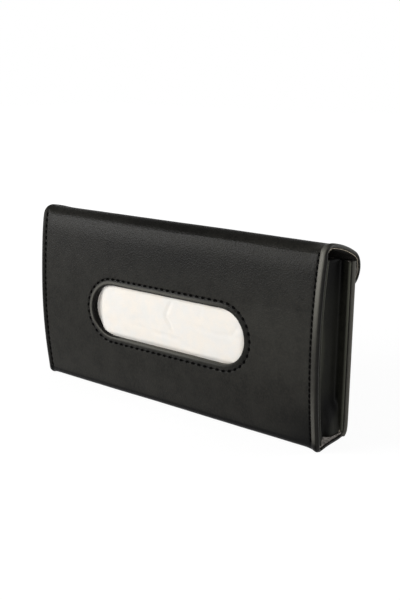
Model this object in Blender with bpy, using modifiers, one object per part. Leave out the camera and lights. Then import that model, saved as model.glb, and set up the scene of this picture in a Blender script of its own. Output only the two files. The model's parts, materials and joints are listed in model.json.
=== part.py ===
"""Sewn tissue case for a car, with an oval window and a flap that wraps over its mouth.

X runs along the case, the window faces -Y and +Z is up. The origin lies under the middle of the
whole object, on the surface that it stands on. Sections are drawn across the length, as (y, z)
points with y counted from the plane of the front panel's two long edges.
"""

import math

import bmesh
import bpy
from mathutils import Matrix, Vector

MM = 0.001

# Case
LENGTH = 230 * MM
BODY_DEPTH = 33 * MM
FRONT_CHORD = 113.5 * MM
FRONT_BULGE = 5 * MM
CORNER_RADIUS = 4 * MM
BACK_DROP = 7.5 * MM

# Sheets, and the gap between two that touch
LEATHER = 0.9 * MM
BOARD = 0.8 * MM
LINING = 0.4 * MM
SHEET_GAP = 0.3 * MM
HEM_WIDTH = 5.5 * MM
HEM_FOLD = 1 * MM
HEM_SLOPE = 0.6 * MM
LINING_INSET = 0.4 * MM
BOARD_MARGIN = 2 * MM

# Window
WINDOW_LENGTH = 130 * MM
WINDOW_HEIGHT = 37 * MM
WINDOW_CENTRE = 57 * MM
WELT_RADIUS = 1.2 * MM

# Flap
RIDGE_RADIUS = 7 * MM
RIDGE_END = math.radians(82)
CROWN_END = math.radians(64)
CURL_RADIUS = 11 * MM
FLAP_STAND_OFF = 7.7 * MM
FLAP_STIFFENER = 0.6 * MM

# Folded ends
FLANGE_WIDTH = 6.6 * MM
GUSSET_LEATHER = 0.6 * MM
GUSSET_BEND = 1.3 * MM
GUSSET_FOLD = 4 * MM
GUSSET_FOOT = 9 * MM
GUSSET_TOP_DROP = 0.6 * MM

# Refill
REFILL_END_CLEARANCE = 4 * MM
REFILL_TOP_DROP = 5 * MM
REFILL_EDGE = 1.5 * MM
FRONT_TISSUE = 0.5 * MM

# Hidden closure
MAGNET_LENGTH = 50 * MM
MAGNET_END_INSET = 65 * MM
MAGNET_BELOW_TIP = 4 * MM
FLAP_MAGNET_WIDTH = 9 * MM

# Elastic bands on the back
BAND_WIDTH = 20 * MM
BAND_THICKNESS = 1.2 * MM
BAND_EDGE = 0.3 * MM
BAND_END_INSET = 57 * MM
BAND_FOOT = 11 * MM
BAND_BELOW_TIP = 6 * MM
BAND_SEAM_INSET = 3 * MM
BAND_SEAM_HEIGHT = 10 * MM

# Thread, thick in the middle of each stitch and thin where it dips into the leather
THREAD_RADIUS = 0.35 * MM
THREAD_DIP_SHARE = 0.4
SEAM_PITCH = 3.2 * MM
WIDE_PITCH = 4.8 * MM
SEAM_INSET = 4 * MM
SEAM_END_MARGIN = 4 * MM
WINDOW_SEAM_OFFSET = 4 * MM
FLAP_SEAM_INSET = 3 * MM

CUTTER_OVERRUN = 5 * MM
WELD = 0.01 * MM

# Facets of each curved stretch
CURL_STEPS = 12
CROWN_STEPS = 4
RIDGE_STEPS = 8
FRONT_STEPS = 10
CORNER_STEPS = 6
BEND_STEPS = 3
OVAL_STEPS = 14

# Depth of each layer's outer side under the outside of the leather
BOARD_DEPTH = LEATHER + SHEET_GAP
LINING_DEPTH = BOARD_DEPTH + BOARD + SHEET_GAP
FLANGE_DEPTH = LINING_DEPTH + LINING + SHEET_GAP
FRONT_TISSUE_DEPTH = FLANGE_DEPTH
REFILL_DEPTH = FRONT_TISSUE_DEPTH + FRONT_TISSUE + SHEET_GAP
STIFFENER_DEPTH = LEATHER + SHEET_GAP
FLAP_LINING_DEPTH = STIFFENER_DEPTH + FLAP_STIFFENER + SHEET_GAP
FLAP_STACK = FLAP_LINING_DEPTH + LINING

# Normal angles in the section: 0 is +Y, a quarter turn is up, half a turn is -Y
HALF_TURN = math.pi
DOWN = 1.5 * math.pi
FULL_TURN = 2 * math.pi

FRONT_RADIUS = FRONT_CHORD**2 / (8 * FRONT_BULGE) + FRONT_BULGE / 2
FRONT_LEAN = math.asin(FRONT_CHORD / (2 * FRONT_RADIUS))
CREASE_ANGLE = HALF_TURN - FRONT_LEAN
FOOT_ANGLE = HALF_TURN + FRONT_LEAN

BLACK_LEATHER = ((0.034, 0.034, 0.032), 0.45)
EDGE_LEATHER = ((0.022, 0.022, 0.021), 0.6)
GREY_BOARD = ((0.30, 0.27, 0.22), 0.9)
BROWN_LINING = ((0.16, 0.13, 0.10), 0.95)
WHITE_TISSUE = ((0.90, 0.88, 0.85), 0.95)
BLACK_THREAD = ((0.010, 0.010, 0.010), 0.7)
BLACK_ELASTIC = ((0.015, 0.015, 0.016), 0.85)
MAGNET_RUBBER = ((0.06, 0.05, 0.045), 0.7)


def direction(angle):
    """Unit vector (y, z) of a normal angle in the section."""
    return Vector((math.cos(angle), math.sin(angle)))


def next_centre(centre, radius, next_radius, angle):
    """Centre of the arc that carries on smoothly from another at this normal angle."""
    return centre + (radius - next_radius) * direction(angle)


def section_arcs():
    """Arcs of the outside of the leather, by name: centre, radius, first and last angle, steps."""
    foot = Vector((CORNER_RADIUS * math.cos(FRONT_LEAN), CORNER_RADIUS))
    heel = Vector((BODY_DEPTH - CORNER_RADIUS, CORNER_RADIUS))
    front = next_centre(foot, CORNER_RADIUS, FRONT_RADIUS, FOOT_ANGLE)
    ridge = next_centre(front, FRONT_RADIUS, RIDGE_RADIUS, CREASE_ANGLE)
    curl_y = BODY_DEPTH + FLAP_STAND_OFF - CURL_RADIUS
    crown_reach = curl_y - ridge.x - RIDGE_RADIUS * math.cos(RIDGE_END) + CURL_RADIUS * math.cos(CROWN_END)
    crown_radius = crown_reach / (math.cos(CROWN_END) - math.cos(RIDGE_END))
    crown = next_centre(ridge, RIDGE_RADIUS, crown_radius, RIDGE_END)
    curl = next_centre(crown, crown_radius, CURL_RADIUS, CROWN_END)
    tip_share = (SHEET_GAP + CURL_RADIUS - FLAP_STAND_OFF) / (CURL_RADIUS - FLAP_STACK)
    return {
        "curl": (curl, CURL_RADIUS, -math.acos(tip_share), CROWN_END, CURL_STEPS),
        "crown": (crown, crown_radius, CROWN_END, RIDGE_END, CROWN_STEPS),
        "ridge": (ridge, RIDGE_RADIUS, RIDGE_END, CREASE_ANGLE, RIDGE_STEPS),
        "front": (front, FRONT_RADIUS, CREASE_ANGLE, FOOT_ANGLE, FRONT_STEPS),
        "foot": (foot, CORNER_RADIUS, FOOT_ANGLE, DOWN, CORNER_STEPS),
        "heel": (heel, CORNER_RADIUS, DOWN, FULL_TURN, CORNER_STEPS),
    }


ARCS = section_arcs()


def arc_point(name, angle, depth=0):
    centre, radius = ARCS[name][:2]
    return centre + (radius - depth) * direction(angle)


def arc_points(name, depth, trim_start=0, trim_end=0):
    """Points of one arc at a depth under the leather's outside, its ends trimmed by a length."""
    _, radius, first, last, steps = ARCS[name]
    first += trim_start / radius
    last -= trim_end / radius
    return [arc_point(name, first + (last - first) * i / steps, depth) for i in range(steps + 1)]


CREASE = arc_point("front", CREASE_ANGLE)
BACK_TOP = CREASE.y - BACK_DROP
TIP = arc_point("curl", ARCS["curl"][2])
FRONT_REACH = FRONT_BULGE + max(WELT_RADIUS - LEATHER / 2, SHEET_GAP + 2 * THREAD_RADIUS)
BACK_REACH = BODY_DEPTH + FLAP_STAND_OFF + SHEET_GAP + 2 * THREAD_RADIUS
CENTRE_SHIFT = (FRONT_REACH - BACK_REACH) / 2
WALL_X = LENGTH / 2 - LINING_INSET - FLANGE_WIDTH
REFILL_HALF = WALL_X - GUSSET_FOLD - REFILL_END_CLEARANCE
REFILL_TOP = BACK_TOP - REFILL_TOP_DROP
MAGNET_CENTRE = LENGTH / 2 - MAGNET_END_INSET
BAND_CENTRE = LENGTH / 2 - BAND_END_INSET


def front_angle(height, depth=0):
    """Normal angle of the front arc at a height, at a depth under the leather's outside."""
    centre, radius = ARCS["front"][:2]
    return HALF_TURN - math.asin((height - centre.y) / (radius - depth))


def front_y(height, depth=0):
    return arc_point("front", front_angle(height, depth), depth).x


def clear_scene():
    for obj in list(bpy.data.objects):
        bpy.data.objects.remove(obj, do_unlink=True)


def new_collection(name):
    collection = bpy.data.collections.new(name)
    bpy.context.scene.collection.children.link(collection)
    return collection


def new_holder(name, y, z):
    """Empty that carries pieces: the case's own frame, or the flap's at its fold line."""
    holder = bpy.data.objects.new(name, None)
    holder.location = (0, y + CENTRE_SHIFT, z)
    parts.objects.link(holder)
    return holder


def paint(obj, finish):
    colour, roughness = finish
    material = bpy.data.materials.new(obj.name)
    material.use_nodes = True
    shader = material.node_tree.nodes["Principled BSDF"]
    shader.inputs["Base Color"].default_value = (*colour, 1)
    shader.inputs["Roughness"].default_value = roughness
    shader.inputs["Metallic"].default_value = 0
    obj.data.materials.append(material)


def add_object(name, data, finish, holder):
    """Object for one sub-part, its points in the case's section frame, carried by a holder."""
    obj = bpy.data.objects.new(name, data)
    parts.objects.link(obj)
    obj.parent = holder
    obj.location = (0, CENTRE_SHIFT - holder.location.y, -holder.location.z)
    paint(obj, finish)
    return obj


def add_bmesh(name, bm, finish, holder):
    mesh = bpy.data.meshes.new(name)
    bm.to_mesh(mesh)
    bm.free()
    return add_object(name, mesh, finish, holder)


def solidify(obj, thickness):
    """Wall of a thickness on the inner side of an open surface."""
    wall = obj.modifiers.new("Wall", "SOLIDIFY")
    wall.thickness = thickness
    wall.offset = -1
    wall.use_even_offset = True


def bevel(obj, width, segments):
    edges = obj.modifiers.new("Edges", "BEVEL")
    edges.width = width
    edges.segments = segments
    edges.limit_method = "ANGLE"


def boolean(obj, other, operation="DIFFERENCE"):
    cut = obj.modifiers.new(operation.title(), "BOOLEAN")
    cut.operation = operation
    cut.object = other
    cut.solver = "EXACT"


def hide_as_cutter(obj):
    for collection in list(obj.users_collection):
        collection.objects.unlink(obj)
    cutters.objects.link(obj)
    obj.hide_render = True
    obj.display_type = "WIRE"


def ribbon(name, points, columns, thickness, finish, holder):
    """Sheet that follows section points, given from the flap's tip to the back's top.

    columns are the places in X of its vertices, from its low end to its high end.
    """
    bm = bmesh.new()
    rows = [[bm.verts.new((x, point.x, point.y)) for x in columns] for point in points]
    for first, second in zip(rows, rows[1:]):
        for k in range(len(columns) - 1):
            bm.faces.new((first[k], second[k], second[k + 1], first[k + 1]))
    obj = add_bmesh(name, bm, finish, holder)
    obj.data.shade_smooth()
    solidify(obj, thickness)
    return obj


def long_ribbon(name, points, inset, thickness, finish, holder):
    """Sheet along the whole case, its two ends set in by a length."""
    columns = (inset - LENGTH / 2, LENGTH / 2 - inset)
    return ribbon(name, points, columns, thickness, finish, holder)


def case_points(depth):
    """Front, bottom and back at a depth, from just under the fold line to the back's top edge."""
    points = arc_points("front", depth, trim_start=SHEET_GAP)
    points += arc_points("foot", depth)[1:]
    points += arc_points("heel", depth)
    return points + [Vector((BODY_DEPTH - depth, BACK_TOP))]


def flap_points(depth):
    points = arc_points("curl", depth)
    return points + arc_points("crown", depth)[1:] + arc_points("ridge", depth)[1:]


def prism(name, outline, half_depth, rotation, location, finish, holder):
    """Flat outline given a thickness, as a closed mesh with its ends welded on."""
    curve = bpy.data.curves.new(name, "CURVE")
    curve.dimensions = "2D"
    curve.fill_mode = "BOTH"
    curve.extrude = half_depth
    spline = curve.splines.new("POLY")
    spline.points.add(len(outline) - 1)
    for point, (x, y) in zip(spline.points, outline):
        point.co = (x, y, 0, 1)
    spline.use_cyclic_u = True
    flat = bpy.data.objects.new(name + "_outline", curve)
    parts.objects.link(flat)
    mesh = bpy.data.meshes.new_from_object(flat.evaluated_get(bpy.context.evaluated_depsgraph_get()))
    bpy.data.objects.remove(flat, do_unlink=True)
    bm = bmesh.new()
    bm.from_mesh(mesh)
    bmesh.ops.remove_doubles(bm, verts=bm.verts, dist=WELD)
    bmesh.ops.transform(bm, matrix=Matrix.Translation(location) @ rotation, verts=bm.verts)
    bm.to_mesh(mesh)
    bm.free()
    return add_object(name, mesh, finish, holder)


FACING_FRONT = Matrix.Rotation(math.radians(90), 4, "X")
FACING_END = Matrix(((0, 0, 1, 0), (1, 0, 0, 0), (0, 1, 0, 0), (0, 0, 0, 1)))


def oval(length, height):
    """Outline of an oval with straight long sides about its own centre, counterclockwise."""
    radius = height / 2
    straight = length / 2 - radius
    points = []
    for side, start in ((1, -HALF_TURN / 2), (-1, HALF_TURN / 2)):
        for i in range(OVAL_STEPS + 1):
            turn = start + HALF_TURN * i / OVAL_STEPS
            points.append((side * straight + radius * math.cos(turn), radius * math.sin(turn)))
    return points


def oval_at(length, height, distance):
    """Point at a distance round the oval, from the left of its lower side."""
    radius = height / 2
    straight = length - height
    bend = HALF_TURN * radius
    side = 1
    if distance >= straight + bend:
        distance -= straight + bend
        side = -1
    if distance < straight:
        return side * Vector((distance - straight / 2, -radius))
    turn = (distance - straight) / radius
    return side * Vector((straight / 2 + radius * math.sin(turn), -radius * math.cos(turn)))


def window_cutter(name, length, height):
    """Oval block through the front panel."""
    depth = FRONT_BULGE + CUTTER_OVERRUN
    cutter = prism(
        name,
        oval(length, height),
        depth,
        FACING_FRONT,
        Vector((0, 0, WINDOW_CENTRE)),
        BLACK_LEATHER,
        case,
    )
    hide_as_cutter(cutter)
    return cutter


def seam(length, pitch, locate):
    """Thread points over a length: spot, outward normal and share of the full thickness.

    locate gives the spot and the normal at a distance along the seam.
    """
    count = round(length / pitch)
    points = []
    for i in range(2 * count + 1):
        spot, normal = locate(length * i / (2 * count))
        points.append((spot, normal, 1 if i % 2 else THREAD_DIP_SHARE))
    return points


def add_thread(name, points, holder, closed=False):
    """Sewing thread that lies close above the leather, in one piece."""
    curve = bpy.data.curves.new(name, "CURVE")
    curve.dimensions = "3D"
    curve.bevel_depth = THREAD_RADIUS
    curve.bevel_resolution = 0
    curve.use_fill_caps = True
    spline = curve.splines.new("POLY")
    spline.points.add(len(points) - 1)
    for point, (spot, normal, share) in zip(spline.points, points):
        point.co = (*(spot + normal * (SHEET_GAP + THREAD_RADIUS * share)), 1)
        point.radius = share
    spline.use_cyclic_u = closed
    add_object(name, curve, BLACK_THREAD, holder)


def line_seam(start, end, normal, pitch):
    """Straight thread points from one spot to another."""
    return seam((end - start).length, pitch, lambda distance: (start + (end - start).normalized() * distance, normal))


def arc_seam(names, x, pitch, first_margin, last_margin):
    """Thread points along section arcs that follow on from each other, at one place in X."""
    lengths = [ARCS[name][1] * (ARCS[name][3] - ARCS[name][2]) for name in names]

    def locate(distance):
        distance += first_margin
        for name, length in zip(names, lengths):
            if distance <= length or name == names[-1]:
                break
            distance -= length
        angle = ARCS[name][2] + distance / ARCS[name][1]
        return Vector((x, *arc_point(name, angle))), Vector((0, *direction(angle)))

    return seam(sum(lengths) - first_margin - last_margin, pitch, locate)


def make_outer_cover():
    """Front, bottom and back in one strip, thickened by its turned edges at both ends."""
    end = LENGTH / 2
    columns = (-end, HEM_WIDTH - end, HEM_WIDTH + HEM_SLOPE - end)
    columns += tuple(-x for x in reversed(columns))
    hemmed = LEATHER + HEM_FOLD
    cover = ribbon("outer_cover", case_points(0), columns, hemmed, BLACK_LEATHER, case)
    thickness = cover.vertex_groups.new(name="Thickness")
    inner_x = end - HEM_WIDTH
    for vertex in cover.data.vertices:
        share = 1 if abs(vertex.co.x) > inner_x - WELD else LEATHER / hemmed
        thickness.add([vertex.index], share, "REPLACE")
    cover.modifiers["Wall"].vertex_group = thickness.name
    boolean(cover, leather_hole)


def make_boards():
    inset = HEM_WIDTH + BOARD_MARGIN
    points = arc_points("front", BOARD_DEPTH, BOARD_MARGIN, BOARD_MARGIN)
    front = long_ribbon("front_board", points, inset, BOARD, GREY_BOARD, case)
    boolean(front, leather_hole)
    foot = ARCS["foot"][0].x
    heel = ARCS["heel"][0].x
    bottom = [Vector((foot + BOARD_MARGIN, BOARD_DEPTH)), Vector((heel - BOARD_MARGIN, BOARD_DEPTH))]
    long_ribbon("bottom_board", bottom, inset, BOARD, GREY_BOARD, case)
    back_y = BODY_DEPTH - BOARD_DEPTH
    top = TIP.y - MAGNET_BELOW_TIP - SHEET_GAP
    back = [Vector((back_y, CORNER_RADIUS + BOARD_MARGIN)), Vector((back_y, top))]
    long_ribbon("back_board", back, inset, BOARD, GREY_BOARD, case)


def make_inner_lining():
    points = case_points(LINING_DEPTH)
    lining = long_ribbon("inner_lining", points, LINING_INSET, LINING, BROWN_LINING, case)
    boolean(lining, lining_hole)


def make_window_welt():
    """Round lip in the leather's window hole, following the bulge of the front."""
    length = WINDOW_LENGTH + 2 * WELT_RADIUS
    height = WINDOW_HEIGHT + 2 * WELT_RADIUS
    curve = bpy.data.curves.new("window_welt", "CURVE")
    curve.dimensions = "3D"
    curve.bevel_depth = WELT_RADIUS
    curve.bevel_resolution = 2
    outline = oval(length, height)
    spline = curve.splines.new("POLY")
    spline.points.add(len(outline) - 1)
    for point, (x, rise) in zip(spline.points, outline):
        height_here = WINDOW_CENTRE + rise
        point.co = (x, front_y(height_here, LEATHER / 2), height_here, 1)
    spline.use_cyclic_u = True
    add_object("window_welt", curve, BLACK_LEATHER, case)


def gusset_profile(front, back):
    """Top view of a right-hand folded end, as (x, y), from its front edge to its back edge."""
    profile = [(LENGTH / 2 - LINING_INSET, front)]
    centre_x = WALL_X + GUSSET_BEND
    for i in range(BEND_STEPS + 1):
        turn = -HALF_TURN / 2 - HALF_TURN / 2 * i / BEND_STEPS
        profile.append((centre_x + GUSSET_BEND * math.cos(turn), front + GUSSET_BEND * (1 + math.sin(turn))))
    profile.append((WALL_X - GUSSET_FOLD, (front + back) / 2))
    for i in range(BEND_STEPS + 1):
        turn = HALF_TURN - HALF_TURN / 2 * i / BEND_STEPS
        profile.append((centre_x + GUSSET_BEND * math.cos(turn), back - GUSSET_BEND * (1 - math.sin(turn))))
    profile.append((LENGTH / 2 - LINING_INSET, back))
    return profile


def make_gusset(name, side):
    """Folded leather end between the front and back linings; side is 1 at +X and -1 at -X."""
    bm = bmesh.new()
    rows = []
    top = BACK_TOP - GUSSET_TOP_DROP
    for i in range(FRONT_STEPS + 1):
        height = GUSSET_FOOT + (top - GUSSET_FOOT) * i / FRONT_STEPS
        profile = gusset_profile(front_y(height, FLANGE_DEPTH), BODY_DEPTH - FLANGE_DEPTH)
        rows.append([bm.verts.new((side * x, y, height)) for x, y in profile])
    for low, high in zip(rows, rows[1:]):
        for k in range(len(low) - 1):
            face = (low[k], high[k], high[k + 1], low[k + 1])
            bm.faces.new(face if side > 0 else face[::-1])
    gusset = add_bmesh(name, bm, EDGE_LEATHER, case)
    gusset.data.shade_smooth()
    solidify(gusset, GUSSET_LEATHER)


def make_refill():
    """Folded tissues as one block, and the first tissue in front of them."""
    floor = LINING_DEPTH + LINING + SHEET_GAP
    back = BODY_DEPTH - floor
    outline = [(back, floor), (back, REFILL_TOP)]
    for i in range(FRONT_STEPS + 1):
        height = REFILL_TOP + (floor - REFILL_TOP) * i / FRONT_STEPS
        outline.append((front_y(max(height, CORNER_RADIUS), REFILL_DEPTH), height))
    stack = prism(
        "tissue_stack", outline, REFILL_HALF, FACING_END, Vector((0, 0, 0)), WHITE_TISSUE, case
    )
    bevel(stack, REFILL_EDGE, 2)
    points = []
    foot = floor + REFILL_EDGE
    for i in range(FRONT_STEPS + 1):
        angle = front_angle(REFILL_TOP + (foot - REFILL_TOP) * i / FRONT_STEPS, FRONT_TISSUE_DEPTH)
        points.append(arc_point("front", angle, FRONT_TISSUE_DEPTH))
    ribbon("front_tissue", points, (-REFILL_HALF, REFILL_HALF), FRONT_TISSUE, WHITE_TISSUE, case)


def make_magnet_strip(name, side, points, thickness, holder):
    middle = side * MAGNET_CENTRE
    half = MAGNET_LENGTH / 2
    ribbon(name, points, (middle - half, middle + half), thickness, MAGNET_RUBBER, holder)


def make_back_magnet(name, side):
    back_y = BODY_DEPTH - BOARD_DEPTH
    points = [Vector((back_y, TIP.y - MAGNET_BELOW_TIP)), Vector((back_y, BACK_TOP - BOARD_MARGIN))]
    make_magnet_strip(name, side, points, BOARD, case)


def make_elastic_band(name, side):
    foot = BAND_FOOT
    top = TIP.y - BAND_BELOW_TIP
    bm = bmesh.new()
    size = Matrix.Diagonal((BAND_WIDTH, BAND_THICKNESS, top - foot, 1))
    middle = Vector((side * BAND_CENTRE, BODY_DEPTH + SHEET_GAP + BAND_THICKNESS / 2, (top + foot) / 2))
    bmesh.ops.create_cube(bm, size=1, matrix=Matrix.Translation(middle) @ size)
    band = add_bmesh(name, bm, BLACK_ELASTIC, case)
    bevel(band, BAND_EDGE, 1)


def make_band_thread(name, side, low):
    """Rectangle of thread that sews down one end of a band; low is its lower side's height."""
    surface = BODY_DEPTH + SHEET_GAP + BAND_THICKNESS
    half = BAND_WIDTH / 2 - BAND_SEAM_INSET
    high = low + BAND_SEAM_HEIGHT
    middle = side * BAND_CENTRE
    corners = [
        Vector((middle + x * half, surface, height))
        for x, height in ((-1, low), (1, low), (1, high), (-1, high))
    ]
    points = []
    for start, end in zip(corners, corners[1:] + corners[:1]):
        points += line_seam(start, end, Vector((0, 1, 0)), WIDE_PITCH)[:-1]
    add_thread(name, points, case, closed=True)


def make_bands():
    low = BAND_FOOT + BAND_SEAM_INSET
    high = TIP.y - BAND_BELOW_TIP - BAND_SEAM_INSET - BAND_SEAM_HEIGHT
    for word, side in (("left", -1), ("right", 1)):
        make_elastic_band(word + "_elastic_band", side)
        make_band_thread(word + "_band_foot_thread", side, low)
        make_band_thread(word + "_band_top_thread", side, high)


def make_side_seams():
    """Thread near both ends, down the front and up the back."""
    for word, side in (("left", -1), ("right", 1)):
        x = side * (LENGTH / 2 - SEAM_INSET)
        front = arc_seam(["front"], x, SEAM_PITCH, SEAM_END_MARGIN, SEAM_END_MARGIN)
        add_thread(word + "_front_seam", front, case)
        foot = Vector((x, BODY_DEPTH, CORNER_RADIUS + SEAM_END_MARGIN))
        top = Vector((x, BODY_DEPTH, TIP.y - SEAM_END_MARGIN))
        add_thread(word + "_back_seam", line_seam(foot, top, Vector((0, 1, 0)), WIDE_PITCH), case)


def make_window_seam():
    length = WINDOW_LENGTH + 2 * WINDOW_SEAM_OFFSET
    height = WINDOW_HEIGHT + 2 * WINDOW_SEAM_OFFSET

    def locate(distance):
        spot = oval_at(length, height, distance)
        rise = WINDOW_CENTRE + spot.y
        return Vector((spot.x, front_y(rise), rise)), Vector((0, *direction(front_angle(rise))))

    around = 2 * (length - height) + math.pi * height
    add_thread("window_seam", seam(around, WIDE_PITCH, locate)[:-1], case, closed=True)


def make_flap():
    """Leather past the fold line, with its stiffener, lining, closure strips and edge seam."""
    long_ribbon("flap_cover", flap_points(0), 0, LEATHER, BLACK_LEATHER, flap)
    points = arc_points("crown", STIFFENER_DEPTH)
    points += arc_points("ridge", STIFFENER_DEPTH, 0, BOARD_MARGIN)[1:]
    inset = HEM_WIDTH + BOARD_MARGIN
    long_ribbon("flap_stiffener", points, inset, FLAP_STIFFENER, GREY_BOARD, flap)
    points = flap_points(FLAP_LINING_DEPTH)
    long_ribbon("flap_lining", points, LINING_INSET, LINING, BROWN_LINING, flap)
    _, radius, tip_angle, curl_end, _ = ARCS["curl"]
    unused = radius * (curl_end - tip_angle) - BOARD_MARGIN - FLAP_MAGNET_WIDTH
    points = arc_points("curl", STIFFENER_DEPTH, BOARD_MARGIN, unused)
    make_magnet_strip("left_flap_magnet", -1, points, FLAP_STIFFENER, flap)
    make_magnet_strip("right_flap_magnet", 1, points, FLAP_STIFFENER, flap)
    make_flap_seam(radius, tip_angle)


def make_flap_seam(radius, tip_angle):
    """Thread up one side of the flap, along its tip and down the other side."""
    x = LENGTH / 2 - SEAM_INSET
    names = ["curl", "crown", "ridge"]
    right = arc_seam(names, x, WIDE_PITCH, FLAP_SEAM_INSET, SEAM_END_MARGIN)
    left = arc_seam(names, -x, WIDE_PITCH, FLAP_SEAM_INSET, SEAM_END_MARGIN)
    row = tip_angle + FLAP_SEAM_INSET / radius
    spot = arc_point("curl", row)
    tip = line_seam(Vector((-x, *spot)), Vector((x, *spot)), Vector((0, *direction(row))), WIDE_PITCH)
    add_thread("flap_seam", left[:0:-1] + tip + right[1:], flap)


clear_scene()
parts = new_collection("car_tissue_holder")
cutters = new_collection("cutters")
case = new_holder("case_frame", 0, 0)
flap = new_holder("flap_fold_line", CREASE.x, CREASE.y)
leather_hole = window_cutter(
    "leather_hole",
    WINDOW_LENGTH + 4 * WELT_RADIUS + 2 * SHEET_GAP,
    WINDOW_HEIGHT + 4 * WELT_RADIUS + 2 * SHEET_GAP,
)
lining_hole = window_cutter("lining_hole", WINDOW_LENGTH, WINDOW_HEIGHT)
make_outer_cover()
make_boards()
make_inner_lining()
make_window_welt()
make_gusset("left_gusset", -1)
make_gusset("right_gusset", 1)
make_refill()
make_back_magnet("left_back_magnet", -1)
make_back_magnet("right_back_magnet", 1)
make_bands()
make_side_seams()
make_window_seam()
make_flap()
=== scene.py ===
"""Leather, lining, tissue, webbing and thread for the car tissue case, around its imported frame.

Sections are drawn across the length as (y, z) in metres, with y counted from the fold line. A layer's
depth is counted inwards from the outside of the leather, and s is the way along the leather's outside,
from the flap's tip over the ridge, down the front, under the bottom and up the back.
"""

import json
import math

import bmesh
import bpy
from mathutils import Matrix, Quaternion, Vector, noise

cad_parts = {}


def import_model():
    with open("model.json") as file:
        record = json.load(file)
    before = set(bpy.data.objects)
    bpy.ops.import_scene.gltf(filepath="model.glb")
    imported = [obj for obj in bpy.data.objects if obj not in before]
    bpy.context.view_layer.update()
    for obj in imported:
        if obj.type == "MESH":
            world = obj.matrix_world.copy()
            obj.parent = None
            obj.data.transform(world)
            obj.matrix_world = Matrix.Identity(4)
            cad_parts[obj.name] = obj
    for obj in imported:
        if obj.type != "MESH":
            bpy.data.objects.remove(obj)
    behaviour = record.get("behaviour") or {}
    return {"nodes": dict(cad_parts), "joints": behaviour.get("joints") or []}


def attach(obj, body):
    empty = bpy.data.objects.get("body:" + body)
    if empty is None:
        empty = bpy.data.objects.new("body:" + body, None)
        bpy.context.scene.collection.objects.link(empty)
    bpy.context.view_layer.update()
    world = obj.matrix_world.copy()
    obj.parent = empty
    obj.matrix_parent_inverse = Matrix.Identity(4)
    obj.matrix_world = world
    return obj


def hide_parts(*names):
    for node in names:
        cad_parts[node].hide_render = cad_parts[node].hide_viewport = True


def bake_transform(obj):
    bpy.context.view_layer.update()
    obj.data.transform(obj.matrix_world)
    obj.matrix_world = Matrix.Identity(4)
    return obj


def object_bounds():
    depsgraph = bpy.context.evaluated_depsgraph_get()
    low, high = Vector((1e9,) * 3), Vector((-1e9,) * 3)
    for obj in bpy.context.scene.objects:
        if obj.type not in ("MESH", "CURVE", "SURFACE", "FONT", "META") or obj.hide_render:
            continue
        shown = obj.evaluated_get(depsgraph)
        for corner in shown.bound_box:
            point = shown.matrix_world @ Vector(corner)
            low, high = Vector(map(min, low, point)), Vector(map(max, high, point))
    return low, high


bl_info = {
    "name": "Car tissue case",
    "version": (1, 0, 0),
    "blender": (4, 5, 0),
    "location": "3D View > Sidebar > Tissue case",
    "description": "Builds the leather, lining, tissues, bands and thread of a car tissue case",
    "category": "Object",
}

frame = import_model()
CAD_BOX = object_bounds()

MM = 0.001
FOLD = next(joint for joint in frame["joints"] if joint["name"] == "flap_fold")
FOLD_Y, FOLD_Z = FOLD["pos_m"][1], FOLD["pos_m"][2]

HALF_TURN = math.pi
DOWN = 1.5 * math.pi
FULL_TURN = 2 * math.pi
SLICE = 1e-7

# The section's outline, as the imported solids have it
END = CAD_BOX[1].x
BODY_DEPTH = 33 * MM
FRONT_CHORD = 113.5 * MM
FRONT_BULGE = 5 * MM
CORNER = 4 * MM
BACK_TOP = FOLD_Z - 7.5 * MM
RIDGE_RADIUS = 7 * MM
RIDGE_END = math.radians(82)
CROWN_END = math.radians(64)
CURL_RADIUS = 11 * MM
FLAP_STAND_OFF = 7.7 * MM
TIP_ANGLE = -math.radians(64.94)

# Depth of each layer's outer side, and its thickness
LEATHER = 0.9 * MM
FLAP_HEM = 1.9 * MM
CASE_HEM = 2.8 * MM
HEM_WIDTH = 5.5 * MM
LINING_DEPTH = 2.3 * MM
LINING = 0.4 * MM
FLANGE_DEPTH = 3.0 * MM
FLAP_BOARD_DEPTH = 1.2 * MM
FLAP_LINING_DEPTH = 2.1 * MM
FLAP_BOARD = 0.6 * MM
SHEET_GAP = 0.3 * MM

WINDOW_LENGTH = 127 * MM
WINDOW_HEIGHT = 35.4 * MM
WINDOW_CENTRE = 58.5 * MM
WINDOW_SEAM_OFFSET = 4.3 * MM
LEFT_INSET = 4.0 * MM
RIGHT_INSET = 4.9 * MM
TIP_INSET = 4 * MM
TIP_ROW = 3 * MM
LEFT_PITCH = 4.1 * MM
RIGHT_PITCH = 3.6 * MM
BAND_PITCH = 3.2 * MM
WIDE_PITCH = 4.8 * MM

# How the soft case departs from its plain section
LEFT_SWELL = 1.3 * MM
HEEL_ROUNDING = 1.2 * MM
LEFT_HANG = 0.25 * MM
RIGHT_HANG = 0.85 * MM
FOLD_FLAT = 0.8 * MM
FOLD_DIP = 0.95 * MM

# Places along the length, in mm, and how far below the fold line the fold's crease shows there
CREASE_LINE = (
    (-115, 0.2), (-102, 0.4), (-88, 1.2), (-50, 0.9), (-11, 0.7), (6, 0.2), (28, -0.8), (60, -1.0),
    (78, 0.4), (100, 0.0), (115, -0.6),
)


def clamped(t):
    return max(0.0, min(1.0, t))


def smooth(t):
    """0 up to 0, 1 from 1 on, with a soft rise between."""
    t = clamped(t)
    return t * t * (3 - 2 * t)


def past(value, first, width):
    """0 up to a first place, 1 from a width past it on; both are in mm, the value is in metres."""
    return smooth((value - first * MM) / (width * MM))


def before(value, last, width):
    """1 until a width short of a last place, 0 from it on; both are in mm, the value is in metres."""
    return smooth((last * MM - value) / (width * MM))


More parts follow.
